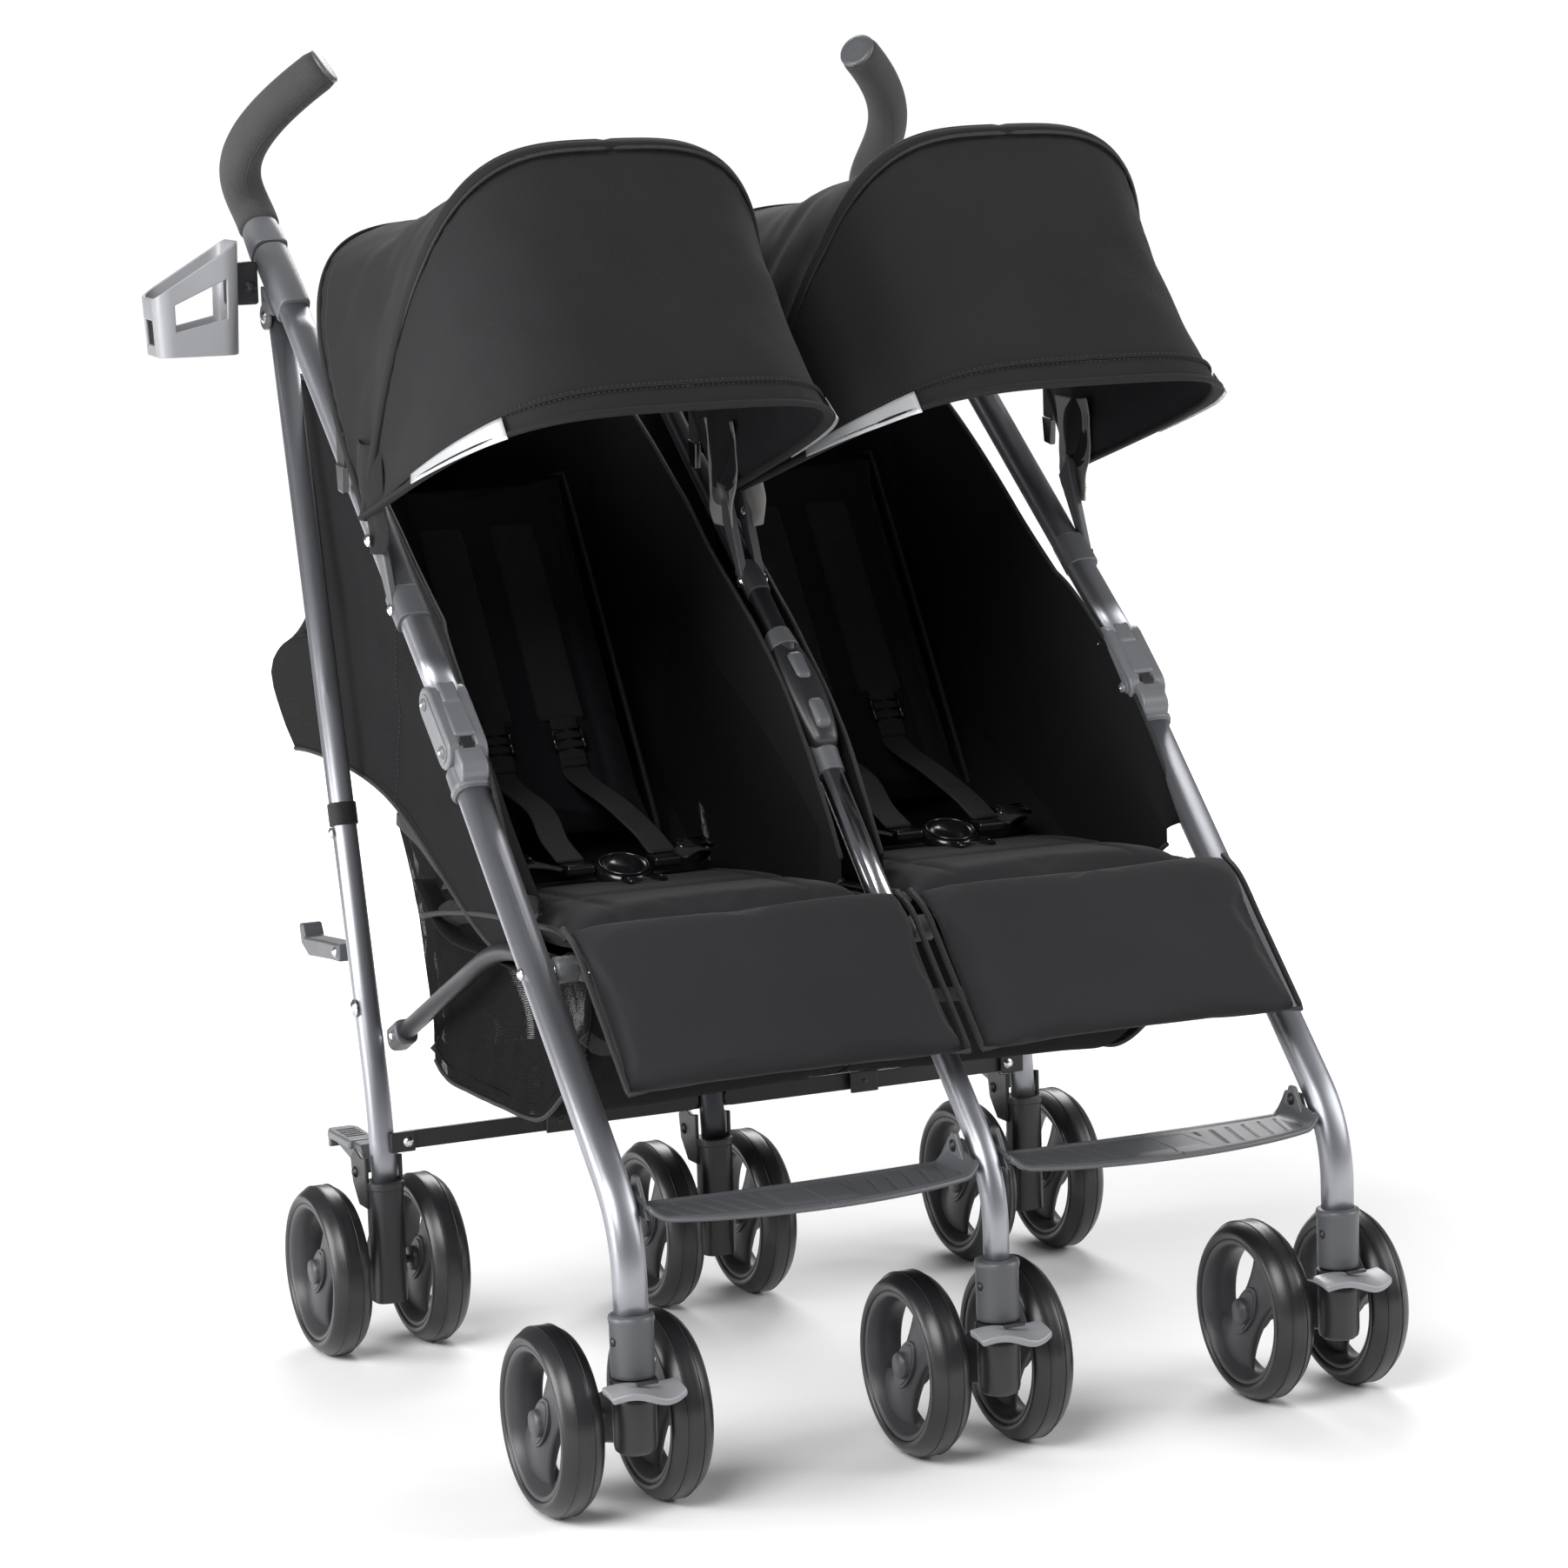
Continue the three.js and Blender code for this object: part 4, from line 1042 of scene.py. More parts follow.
def wheel_mesh():
    """One wheel about the origin, its axle along x."""
    origin = Vector((0, 0, 0))
    rim_edge = 0.82 * WHEEL_RADIUS
    half = 17.2

    def hoop_of(name, half_section, look, count):
        """A ring turned from half of its section, which is mirrored and smoothed."""
        section = half_section + [(r, -a) for r, a in reversed(half_section[:-1])]
        smooth = [(p.x, p.y) for p in spline([(r, a, 0) for r, a in section], count)]
        return turned(name, smooth, origin, X, look, 96, closed=True)
    tyre = hoop_of("tyre", [(rim_edge - 1, -half + 5), (rim_edge - 0.6, -half + 1.5), (rim_edge + 1.6, -half),
                            (rim_edge + 5, -half - 0.2), (WHEEL_RADIUS - 4.6, -half + 3.2),
                            (WHEEL_RADIUS - 1.4, -half + 8.2), (WHEEL_RADIUS - 0.1, -5), (WHEEL_RADIUS, 0)],
                   "tyre", 56)
    lines = []
    for s in (1, -1):
        ridge = [(WHEEL_RADIUS - 0.5, s * 6.4), (WHEEL_RADIUS + 0.25, s * 6.9), (WHEEL_RADIUS - 0.5, s * 7.4)]
        lines.append(turned("part_line", ridge, origin, X, "tyre", 96, closed=True))
    rim = hoop_of("rim", [(rim_edge, -14.5), (rim_edge - 1.5, -15.8), (rim_edge - 4, -15.6),
                          (rim_edge - 6, -13.5), (rim_edge - 8.5, -7), (rim_edge - 9.5, 0)], "rim", 40)
    reach = rim_edge - 5.5
    lean = math.radians(128)

    def blade(face):
        def point(r, c):
            v, u = 2 * r - 1, 2 * c - 1
            wide = 17 + 15 * abs(u) ** 2.2
            across = v * wide
            along = u * math.sqrt(max(reach ** 2 - across ** 2, 1))
            crown = 9.5 - 6.5 * abs(v) ** 2.4 - 2.0 * u * u
            y = along * math.cos(lean) - across * math.sin(lean)
            z = along * math.sin(lean) + across * math.cos(lean)
            return Vector((face * crown, y, z))
        return point
    rows, columns = 14, 28
    points = []
    for face in (1, -1):
        points += [blade(face)(r / rows, c / columns) for r in range(rows + 1) for c in range(columns + 1)]
    bar = outward(make("bar", points, two_sided(rows, columns), "rim"))
    parts = [tyre, *lines, rim, bar]
    boss = [(u * math.cos(lean) - v * math.sin(lean), u * math.sin(lean) + v * math.cos(lean))
            for u, v in oval(27, 12.5, 2.0, 40)]
    for face in (1, -1):
        for grow, low, high in ((1.0, 7.0, 10.6), (0.86, 9.5, 11.6)):
            plan = [(u * grow, v * grow) for u, v in boss]
            parts.append(slab("boss", plan, *sorted((face * low, face * high)), "x", "rim", 0.8, 3))
    hub = turned("hub", [(0, -16), (10, -16), (11, -14), (11, 14), (10, 16), (0, 16)], origin, X, "rim", 32)
    parts.append(hub)
    return fuse("wheel", parts)


def wheels():
    """Twelve wheels that share one mesh, two on each of the six axles."""
    model = wheel_mesh()
    for end, y in (("front", -AXLE.y), ("rear", AXLE.y)):
        for side, x, _ in FRAMES:
            for letter, shift in (("a", -WHEEL_OFFSET), ("b", WHEEL_OFFSET)):
                wheel = bpy.data.objects.new(f"{end}_{side}_{letter}_wheel", model.data)
                wheel["look"] = "tyre"
                bpy.context.scene.collection.objects.link(wheel)
                wheel.location = Vector((x + shift, y, WHEEL_RADIUS)) * MM
                mount(wheel, f"{end}_wheel_{side}_{letter}", [f"wheel_{end}_{side}_{letter}"])
    bpy.data.objects.remove(model)


# ------------------------------------------------------------------ seat rails, footrests, links, cup holder
def seat_rail(side, x, inward):
    """The bar from the leg's pivot down and back to the rear leg, with its boss and end fitting."""
    s = inward or 1
    near = Vector((x + s * 26, RAIL_PIVOT.y, RAIL_PIVOT.z))
    path = bent([near, (near.x, -5, 401), (near.x, 252, 278)], 50)
    parts = [swept("rail", path, oval(8, 8), "dark_tube")]
    boss = turned("boss", [(0, 0), (10, 0), (11, 1.5), (11, 17), (9.5, 19), (0, 19)],
                  (x + s * 14.4, RAIL_PIVOT.y, RAIL_PIVOT.z), X * s, "grey", 32)
    tip = path[-1]
    down = (path[-1] - path[-2]).normalized()
    end = soften(swept("end", [tip - down * 20, tip + down * 6], oval(10.5, 11.5, 3), "grey"), 2)
    parts += [boss, end, rivet("end_bolt", tip - down * 6 - X * s * 10.3, X * -s, 5)]
    mount(fuse(f"rail_{side}_tube", parts), f"rail_{side}", [f"seat_rail_{side}"])


def footrest(side):
    """A bowed plate in two halves, turned up at the legs, with raised rims and pressed ribs."""
    outer_low, outer_high = cad(f"footrest_{side}_outer")
    inner_low, inner_high = cad(f"footrest_{side}_inner")
    span_low = min(outer_low.x, inner_low.x)
    span_high = max(outer_high.x, inner_high.x)
    middle = (span_low + span_high) / 2
    back, front = outer_high.y, outer_low.y
    top = outer_high.z - 1.5
    half = (span_high - span_low) / 2

    def outline_front(x):
        share = 1 - ((x - middle) / half) ** 2
        return back - 50 - (back - 50 - front) * share ** 0.75

    def surface(x0, x1):
        def point(r, c):
            x = x0 + (x1 - x0) * c
            edge = outline_front(x)
            y = back + (edge - back) * r
            end = max(0.0, 1 - (half - abs(x - middle)) / 16)
            lift = 20 * end ** 2 * (1 - 0.6 * r)
            rim = 1.6 * (math.exp(-((r - 0.05) / 0.03) ** 2) + math.exp(-((r - 0.94) / 0.03) ** 2))
            groove = 0.0
            reach = (x - middle) / half
            if 0.2 < r < 0.82 and abs(reach) > 0.3 and abs(reach) < 0.92:
                phase = (abs(reach) * 9 + (r - 0.5) * 1.1) % 1
                groove = -1.4 * math.exp(-((phase - 0.5) / 0.09) ** 2)
            if abs(reach) < 0.24 and 0.18 < r < 0.84:
                groove = 1.3 * min(1, (0.24 - abs(reach)) / 0.03, (r - 0.18) / 0.08, (0.84 - r) / 0.08)
            sag = -1.5 * (1 - reach ** 2)
            return Vector((x, y, top + lift + rim + groove + sag))
        return point
    for part, body_x in (("outer", outer_low.x + outer_high.x), ("inner", inner_low.x + inner_high.x)):
        low_end = body_x / 2 < middle
        x0, x1 = (span_low, middle - 0.3) if low_end else (middle + 0.3, span_high)
        plate = grid("plate", surface(x0, x1), 44, 120, "grey", thickness=3.4)
        tip_x = x0 if low_end else x1
        inwards = 1 if low_end else -1
        tab_outline = [(back - 2, top - 3), (back - 40, top - 3), (back - 34, top + 6), (back - 20, top + 28),
                       (back - 12, top + 28), (back - 2, top + 8)]
        low, high = sorted((tip_x + inwards * 1.5, tip_x + inwards * 5.5))
        tab = slab("tab", tab_outline, low, high, "x", "grey", 1.4)
        screw_at = (tip_x + inwards * 5.5, back - 16, top + 17)
        screw = rivet("tab_screw", screw_at, X * inwards, 5, "black_steel")
        piece = fuse(f"footplate_{side}_{part}", [plate, tab, screw])
        mount(piece, f"footrest_{side}_{part}", [f"footrest_{side}_{part}"])


def rear_link(side, s):
    """The flat bar between two rear legs, in two halves that are pinned where they lap."""
    for part in ("outer", "inner"):
        low, high = cad(f"rear_link_{side}_{part}")
        centre_z = (low.z + high.z) / 2
        ends = disc(low.x + 8, centre_z, 8, math.pi / 2, 1.5 * math.pi, 10)
        ends += disc(high.x - 8, centre_z, 8, -math.pi / 2, math.pi / 2, 10)
        bar = slab("bar", ends, low.y, high.y, "y", "black_steel", 1)
        pieces = [bar]
        reach_left = (low.x + high.x) / 2 < s * TRACK / 2
        lap = high.x - 9 if reach_left else low.x + 9
        pin = low.x + 8 if reach_left else high.x - 8
        face = low.y if part == "outer" else high.y
        outwards = -Y if part == "outer" else Y
        for x in (lap, pin):
            pieces.append(rivet("link_rivet", (x, face, centre_z), outwards, 4.6, "black_steel"))
        lap_low, lap_high = sorted((lap - 14, lap + 14))
        if part == "outer":
            plate = rectangle(lap_low, lap_high, centre_z - 10, centre_z + 10)
            pieces.append(slab("lap", plate, low.y - 2.2, low.y + 0.6, "y", "black_steel", 2))
        name = f"rear_link_{side}_{part}"
        mount(fuse(f"cross_link_{side}_{part}", pieces), name, [name])


def cup_holder():
    """A rounded open cup with a sloping rim and a window in each side, made as one folded wall."""
    low, high = cad("cup_holder")
    floor_z = low.z + 1
    centre = Vector((low.x + 41.5, (low.y + high.y) / 2, floor_z))
    turn = Matrix.Rotation(math.radians(-8), 3, "Z")
    half, corner = 39.5, 15.0
    ring = []
    for qx, qy, start in ((1, 1, 0), (-1, 1, 90), (-1, -1, 180), (1, -1, 270)):
        for i in range(9):
            angle = math.radians(start + 90 * i / 8)
            ring.append(Vector((qx * (half - corner) + corner * math.cos(angle),
                                qy * (half - corner) + corner * math.sin(angle), 0)))
    ring = evenly(ring + [ring[0]], 193)[:-1]
    rows = 40

    def rim_height(u):
        return 76 + 24 * u / half

    points, uvs = [], []
    for r in range(rows + 1):
        for i, p in enumerate(ring):
            share = r / rows
            taper = 0.93 + 0.07 * share
            q = Vector((p.x * taper, p.y * taper, rim_height(p.x) * share))
            points.append(centre + turn @ q)
            uvs.append((i * 1.5, q.z))
    faces, count = [], len(ring)

    def window(p, share):
        flat_front = abs(p.y) > half - 1.5 and -21 < p.x < 27
        flat_side = p.x < -half + 1.5 and abs(p.y) < 22
        low_share, high_share = (0.34, 0.72) if flat_front else (0.2, 0.62)
        return (flat_front or flat_side) and low_share < share < high_share
    for r in range(rows):
        for i in range(count):
            j = (i + 1) % count
            if window((ring[i] + ring[j]) / 2, (r + 0.5) / rows):
                continue
            faces.append((r * count + i, r * count + j, (r + 1) * count + j, (r + 1) * count + i))
    wall = make("wall", points, faces, "pale", uvs)
    modify(wall, "SOLIDIFY", thickness=2.8 * MM, offset=-1)
    modify(wall, "BEVEL", width=0.8 * MM, segments=2, limit_method="ANGLE", angle_limit=math.radians(50))
    plan = [((turn @ (p * 0.93)) + centre).xy for p in ring[::4]]
    base = slab("floor", plan, floor_z, floor_z + 3, "z", "pale", 1)
    block = rectangle(centre.x + 34, high.x, centre.y - 11, centre.y + 13)
    bracket = slab("bracket", block, floor_z + 42, floor_z + 80, "z", "dark", 3)
    screw = rivet("cup_screw", (high.x - 8, centre.y - 11, floor_z + 58), -Y, 5.5, "dark")
    mount(fuse("cup_ring", [wall, base, bracket, screw]), "upper_left", ["cup_holder"])


# ------------------------------------------------------------------ canopies
HOOD_MIDDLE = (HOOD_INNER + HOOD_OUTER) / 2
HOOD_HALF = (HOOD_OUTER - HOOD_INNER) / 2 - 3
BRIM = (162, 322, 3.9)                 # a hoop's angle about the hub, its reach and its squareness
BOW = (115, 335, 3.5)
BACK_HEM = (46, 327, 3.6)
HEM_WIDTH = 22.5
HOOD_LEAN = {-1: 8, 1: 27}             # how far each hood leans towards +x at its top


def hoop_outline(reach, power, count=97):
    """The hoop in its own plane, as (across, out), evenly spaced from the outer side to the inner side."""
    dense = []
    for i in range(721):
        angle = math.pi * i / 720
        c, q = math.cos(angle), math.sin(angle)
        across = HOOD_HALF * math.copysign(abs(c) ** (2 / power), c)
        dense.append(Vector((across, reach * q ** (2 / power), 0)))
    return evenly(dense, count)


def hoop(s, fan, reach, power, count=97, grow=0.0):
    """The hoop's points. s is the side, and grow widens it."""
    slope = math.radians(fan)
    points = []
    for p in hoop_outline(reach, power, count):
        scale = 1 + grow / max(p.length, 60)
        out = p.y * scale
        lean = HOOD_LEAN[s] * min(1, out / (0.7 * reach))
        points.append(Vector((s * (HOOD_MIDDLE + p.x * scale) + lean, HOOD_PIVOT.y + out * math.cos(slope),
                              HOOD_PIVOT.z + out * math.sin(slope))))
    return points


def crease(x, y, z, size):
    """A smooth repeatable wave for soft cloth."""
    place = Vector((x, y, z)) / size
    return noise.noise(place) + 0.5 * noise.noise(place * 2.3)


def hood_sheet(s, first, last, columns, sag, grow, wrinkle):
    """Cloth stretched from one hoop to the next, a little hollow between them."""
    start, end = hoop(s, *first, columns + 1, grow), hoop(s, *last, columns + 1, grow)
    hub = Vector((s * HOOD_MIDDLE, HOOD_PIVOT.y, HOOD_PIVOT.z + 60))

    def point(r, c):
        i = round(c * columns)
        p = start[i].lerp(end[i], r)
        inward = (hub - p)
        inward.x *= 0.55
        reach = inward.length
        inward.normalize()
        free = math.sin(math.pi * r) * min(1, reach / 160)
        along_edge = min(r, 1 - r)
        gather = 1.3 * math.exp(-((along_edge / 0.07) ** 2)) * math.sin(c * 150 + 3 * math.sin(c * 40))
        waves = wrinkle * crease(p.x, p.y, p.z, 85) * free
        return p + inward * (sag * free + waves + gather * min(1, along_edge / 0.02) * 0.7)
    return point


def canopy(side, s):
    """A hood's front and back sheets with their seams, tape and tabs. The front turns about the hub."""
    hub = Vector((s * HOOD_MIDDLE, HOOD_PIVOT.y, HOOD_PIVOT.z))
    front = grid("front", hood_sheet(s, BOW, BRIM, 128, 9, 0, 5), 44, 128, "hood", CLOTH, lining="lining",
                 flip=s < 0)
    pieces = [front]
    bow_line = hoop(s, *BOW, 129)
    fan = math.radians(BOW[0])
    pieces.append(swept("bow_sleeve", bow_line, oval(6.2, 3.4, 2.4, 20), "hood",
                        Vector((0, -math.sin(fan), math.cos(fan)))))
    piping_line = hoop(s, BOW[0] + 1.5, BOW[1] + 1.5, BOW[2], 129)
    pieces.append(cord("bow_piping", piping_line, 1.7))
    pieces.append(cord("bow_piping_back", hoop(s, BOW[0] - 1.4, BOW[1] + 1, BOW[2], 129), 1.1))
    brim_line = hoop(s, *BRIM, 129, 0.8)
    forward = Vector((0, -math.cos(math.radians(BRIM[0] - 90)), math.sin(math.radians(BRIM[0] - 90))))
    pieces.append(swept("brim_binding", brim_line, oval(2.6, 5.2, 2.4, 16), "hood", forward))
    depth = (brim_line[64] - bow_line[64]).length
    for inset, thread_gap in ((HEM_WIDTH - 2.5, 1.4), (HEM_WIDTH + 2.5, 1.5)):
        line = [a.lerp(b, inset / depth) + (a - hub).normalized() * 0.8 for a, b in zip(brim_line, bow_line)]
        pieces.append(stitches("hem_stitch", line[6:-6], 3.0, thread_gap, 0.4))
    ridge = [a.lerp(b, HEM_WIDTH / depth) for a, b in zip(brim_line, bow_line)]
    pieces.append(cord("hem_ridge", ridge, 1.5, "hood"))
    for end in (1, -1):
        pieces.append(reflective(s, end, brim_line, bow_line))
    cloth = fuse(f"hood_front_{side}", pieces)
    mount(cloth, f"hood_{side}", [f"canopy_{side}"], s * HOOD_INNER)

    back_cloth = hood_sheet(s, BACK_HEM, (BOW[0] - 1.5, BOW[1] - 3, BOW[2]), 128, 12, -1.5, 7)
    back = grid("back", back_cloth, 48, 128, "hood", CLOTH, lining="lining", flip=s < 0)
    hem_line = [back_cloth(0, c / 128) for c in range(129)]
    seam_line = [back_cloth(0.065, c / 128) for c in range(129)]
    hem = swept("hem", hem_line, oval(2.2, 5, 2.4, 16), "hood")
    back_pieces = [back, hem, cord("hem_piping", seam_line, 1.3)]
    back_pieces += [clip_tab(hem_line[i]) for i in (14, 114)]
    rear = fuse(f"hood_back_{side}", back_pieces)
    mount(rear, "upper_center", [f"canopy_{side}"], s * HOOD_INNER)

    for end in (1, -1):
        snap_tab(side, s, end)


def reflective(s, end, brim_line, bow_line):
    """A strip of bright tape just behind the brim, round one of its corners."""
    middle = len(brim_line) // 2
    near, far = (18, 40) if end > 0 else (len(brim_line) - 41, len(brim_line) - 19)
    hub = Vector((s * HOOD_MIDDLE, HOOD_PIVOT.y, HOOD_PIVOT.z))
    length = (brim_line[middle] - bow_line[middle]).length
    columns = far - near

    def point(r, c):
        i = near + round(c * columns)
        a, b = brim_line[i], bow_line[i]
        p = a.lerp(b, (27 * r - 7) / length)
        return p + (p - hub).normalized() * (7.2 - 4.4 * r)
    return grid("tape", point, 6, columns, "tape", 0.6, flip=s < 0)


def clip_tab(at):
    """A blank loop of tape and a small black clip at the hem's lower corner."""
    band = [(-9, -30), (9, -26), (9, 2), (-9, 0)]
    hook = [(-7, -52), (6, -50), (9, -26), (-9, -28)]
    parts = []
    for outline, half, look, bevel in ((band, 1.2, "webbing", 0.6), (hook, 3, "gloss", 1.6)):
        placed = [(at.y + y, at.z + z) for y, z in outline]
        parts.append(slab("clip", placed, at.x - half, at.x + half, "x", look, bevel))
    return fuse("clip_tab", parts)


def snap_tab(side, s, end):
    """The hood's lower corner, folded over its hub and closed with a snap."""
    x = s * (HOOD_MIDDLE + end * (HOOD_HALF - 2))
    out = s * end
    facing = X * out

    def point(r, c):
        wide = 30 - 12 * r + 5 * math.sin(math.pi * r)
        y = HOOD_PIVOT.y - 6 + (c - 0.5) * wide * 2 - 8 * r
        z = HOOD_PIVOT.z + 62 - 92 * r + 10 * (c - 0.5) ** 2
        curl = 7 * math.cos(math.pi * (c - 0.5)) + 2.2 * crease(y, z, 3 * s, 22) * (0.4 + r)
        return Vector((x, y, z)) + facing * (curl - 5 + 2.5 * math.sin(5 * r))
    tab = grid("tab", point, 22, 20, "hood" if out == s and side == "left" else "silver", 1.4, flip=out < 0)
    modify(tab, "SUBSURF", levels=1, render_levels=1)
    button = rivet("snap", (x + out * 3.5, HOOD_PIVOT.y - 12, HOOD_PIVOT.z - 18), facing, 5.5, "steel")
    label = "outer" if end > 0 else "inner"
    mount(fuse(f"hood_tab_{side}_{label}", [tab, button]), "upper_center", (), s * HOOD_INNER)


# ------------------------------------------------------------------ seat shells, pads and harness
BACK_SLOPE = math.radians(57)
CLOTH = 1.6                            # thickness of the seat shells' and canopies' cloth
PAD_THICKNESS = 22
WEBBING_WIDTH, WEBBING_THICKNESS = 25, 2.2
PANEL_FLARE = 17                       # how far a side panel reaches out to its leg at the front

# Lines in the plane of constant x, as (y, z): the seat shell's back at its sides and along its middle,
# and the same for the floor that carries on from it towards the front.
BACK_EDGE = ((452, 849), (428, 790), (410, 720), (404, 660), (440, 618), (527, 597), (566, 568), (540, 530),
             (505, 503))
BACK_CROWN = ((452, 849), (500, 790), (535, 730), (556, 680), (566, 635), (571, 600), (566, 565), (545, 528),
              (505, 503))
FLOOR_OUTER = ((505, 503), (420, 508), (300, 507), (204, 482), (120, 443), (60, 415))
FLOOR_MIDDLE = ((505, 503), (430, 492), (320, 455), (230, 415), (170, 386), (110, 380))
FLOOR_INNER = ((505, 503), (420, 506), (300, 481), (204, 423), (150, 408), (90, 400))


def line_through(points, count):
    return evenly(spline([(0, y, z) for y, z in points], 160), count)


def side_panel(s, outer):
    """Cloth from the frame tube down to the seat's floor, bulging round the pouch behind the back."""
    x_rest = s * (SEAT_OUTER if outer else SEAT_INNER + 2)
    out = s * (1 if outer else -1)
    top = line_through([(-95, 460), (-20, 560), (60, 632), (159, 700), (330, 822), (452, 849)], 97)
    hang = [(42, 404), (204, 473), (300, 500)] if outer else [(42, 400), (150, 398), (204, 410), (300, 470)]
    low = line_through([(-95, 442), (-21, 402), *hang, (420, 508), (505, 503)], 97)
    back_bulge = line_through(BACK_EDGE, 33)

    def point(r, c):
        i = round(c * 96)
        p = top[i].lerp(low[i], r)
        push = max(0.0, (c - 0.55) / 0.45)
        bulge = back_bulge[round(r * 32)]
        p = p.lerp(Vector((0, bulge.y, bulge.z)), push ** 2)
        free = math.sin(math.pi * min(1, r)) * math.sin(math.pi * min(1, c * 1.05)) if outer else 0.4
        x = x_rest - out * (6 * free + 4 * crease(p.y, p.z, x_rest, 95) * free + 1)
        if outer:
            x += out * PANEL_FLARE * max(0, 1 - r / 0.3) ** 2 * max(0, 1 - c / 0.4) ** 0.5
        return Vector((x, p.y, p.z))
    panel = grid("panel", point, 40, 96, "side", 1.5, flip=out < 0)
    if not outer:
        patch(panel, 40, 96, lambda r, c: r > 0.3 and 0.08 < c < 0.62, "fine_net")
    edge = [point(1, c / 96) + X * out * 0.5 for c in range(97)]
    rim = [point(0, c / 96) + X * out * 0.5 for c in range(97)]
    seam = [point(r / 24, 0.62 - 0.05 * r / 24) + X * out * 1.1 for r in range(25)]
    ridge = [p - X * out * 0.9 for p in seam]
    return [panel, cord("low_piping", edge, 2.1), cord("top_piping", rim, 2.0),
            stitches("seam", seam, 3.2, 1.6, 0.45), cord("seam_ridge", ridge, 1.1, "side")]


def pouch(s):
    """The back of the seat shell: a sheet that hangs from the canopy's hem line round behind the backrest."""
    edge, crown_line = line_through(BACK_EDGE, 49), line_through(BACK_CROWN, 49)
    floor_lines = [line_through(line, 25) for line in (FLOOR_OUTER, FLOOR_MIDDLE, FLOOR_INNER)]
    inner, outer = s * (SEAT_INNER + 1), s * (SEAT_OUTER - 1)

    def point(r, c):
        row = round(r * 72)
        full = 1 - (2 * c - 1) ** 4
        if row <= 48:
            p = edge[row].lerp(crown_line[row], full)
        else:
            at_outer, at_middle, at_inner = (line[row - 48] for line in floor_lines)
            p = at_middle.lerp(at_outer, max(0, 2 * c - 1) ** 3).lerp(at_inner, max(0, 1 - 2 * c) ** 3)
        x = inner + (outer - inner) * c
        crown = 1 - (2 * c - 1) ** 4
        sag = 9 * math.sin(math.pi * r) * crown
        fold = 4 * crease(x, p.y, p.z, 80) * crown
        middle = Vector((0, 420, 660))
        away = (p - middle).normalized()
        hem = 8 * math.exp(-((r - 0.02) / 0.03) ** 2) * crown
        return Vector((x, p.y, p.z)) + Vector((0, away.y, away.z)) * (fold * 0.8 - sag * 0.3 - hem * 0.2)
    return [grid("pouch", point, 72, 48, "side", CLOTH, flip=s > 0)]


def seat_floor(s):
    """The sling under the seat pad, between the side panels."""
    section = line_through([(-150, 418), (-60, 388), (42, 385), (140, 388), (204, 425)], 41)
    inner, outer = s * (SEAT_INNER + 3), s * (SEAT_OUTER - 2)

    def point(r, c):
        p = section[round(r * 40)]
        return Vector((inner + (outer - inner) * c, p.y, p.z - 8 * (1 - (2 * c - 1) ** 2)))
    return [grid("floor", point, 40, 32, "side", CLOTH, flip=s > 0)]


def seat_shell(side, s):
    pieces = side_panel(s, True) + side_panel(s, False) + pouch(s)
    shell = fuse(f"seat_shell_{side}", pieces)
    mount(shell, "upper_center", [f"hammock_{side}"], s * SEAT_INNER)


def cushion(name, corners, width, s, look):
    """A closed pad block: corners is its middle line as (y, z), width its two x sides."""
    line = line_through(corners, 33)
    inner, outer = width
    rows, columns = 32, 28
    points = []
    for face in (1, -1):
        for r in range(rows + 1):
            p = line[r]
            ahead = (line[min(r + 1, rows)] - line[max(r - 1, 0)]).normalized()
            up = Vector((0, -ahead.z, ahead.y))
            if up.z < 0:
                up = -up
            for c in range(columns + 1):
                u = 2 * c / columns - 1
                edge_r = min(r, rows - r) / rows
                swell = (1 - abs(u) ** 6) * min(1, edge_r / 0.04 + 0.25)
                half = PAD_THICKNESS / 2 * (0.35 + 0.65 * swell)
                x = s * (inner + (outer - inner) * (u + 1) / 2)
                points.append(Vector((x, p.y, p.z)) + up * half * face)
    return outward(make(name, points, two_sided(rows, columns), look))


def tufted(obj, line, height, seams, across=()):
    """Presses sewn channels into the pad's upper face. seams are shares along it, across are x places."""
    for vertex in obj.data.vertices:
        p = (vertex.co - MID_FLOOR) / MM
        best, place = None, 0.0
        for i, q in enumerate(line):
            d = (q.y - p.y) ** 2 + (q.z - p.z) ** 2
            if best is None or d < best:
                best, place = d, i / (len(line) - 1)
        depth = 0.0
        for share in seams:
            depth = max(depth, math.exp(-((place - share) / 0.014) ** 2))
        for x in across:
            depth = max(depth, math.exp(-((abs(p.x) - x) / 3.2) ** 2))
        i = min(len(line) - 2, int(place * (len(line) - 1)))
        ahead = (line[i + 1] - line[i]).normalized()
        up = Vector((0, -ahead.z, ahead.y))
        if up.z < 0:
            up = -up
        above = (p - Vector((p.x, line[i].y, line[i].z))).dot(up)
        if above > 0:
            vertex.co -= up * height * depth * MM
    return obj


def finish_pad(pad):
    """Rounds off the remeshed and pressed pad."""
    return modify(pad, "SUBSURF", levels=1, render_levels=1)


def edge_piping(line, s, inner, outer, lift, radius=2.6):
    """Piping down a pad's inner edge, across its end and back up its outer edge."""
    lifted = [p + Z * lift for p in line]
    path = [Vector((s * inner, p.y, p.z)) for p in lifted]
    end = lifted[-1]
    path += [Vector((s * (inner + (outer - inner) * i / 16), end.y, end.z)) for i in range(1, 16)]
    path += [Vector((s * outer, p.y, p.z)) for p in reversed(lifted)]
    return cord("piping", path, radius)


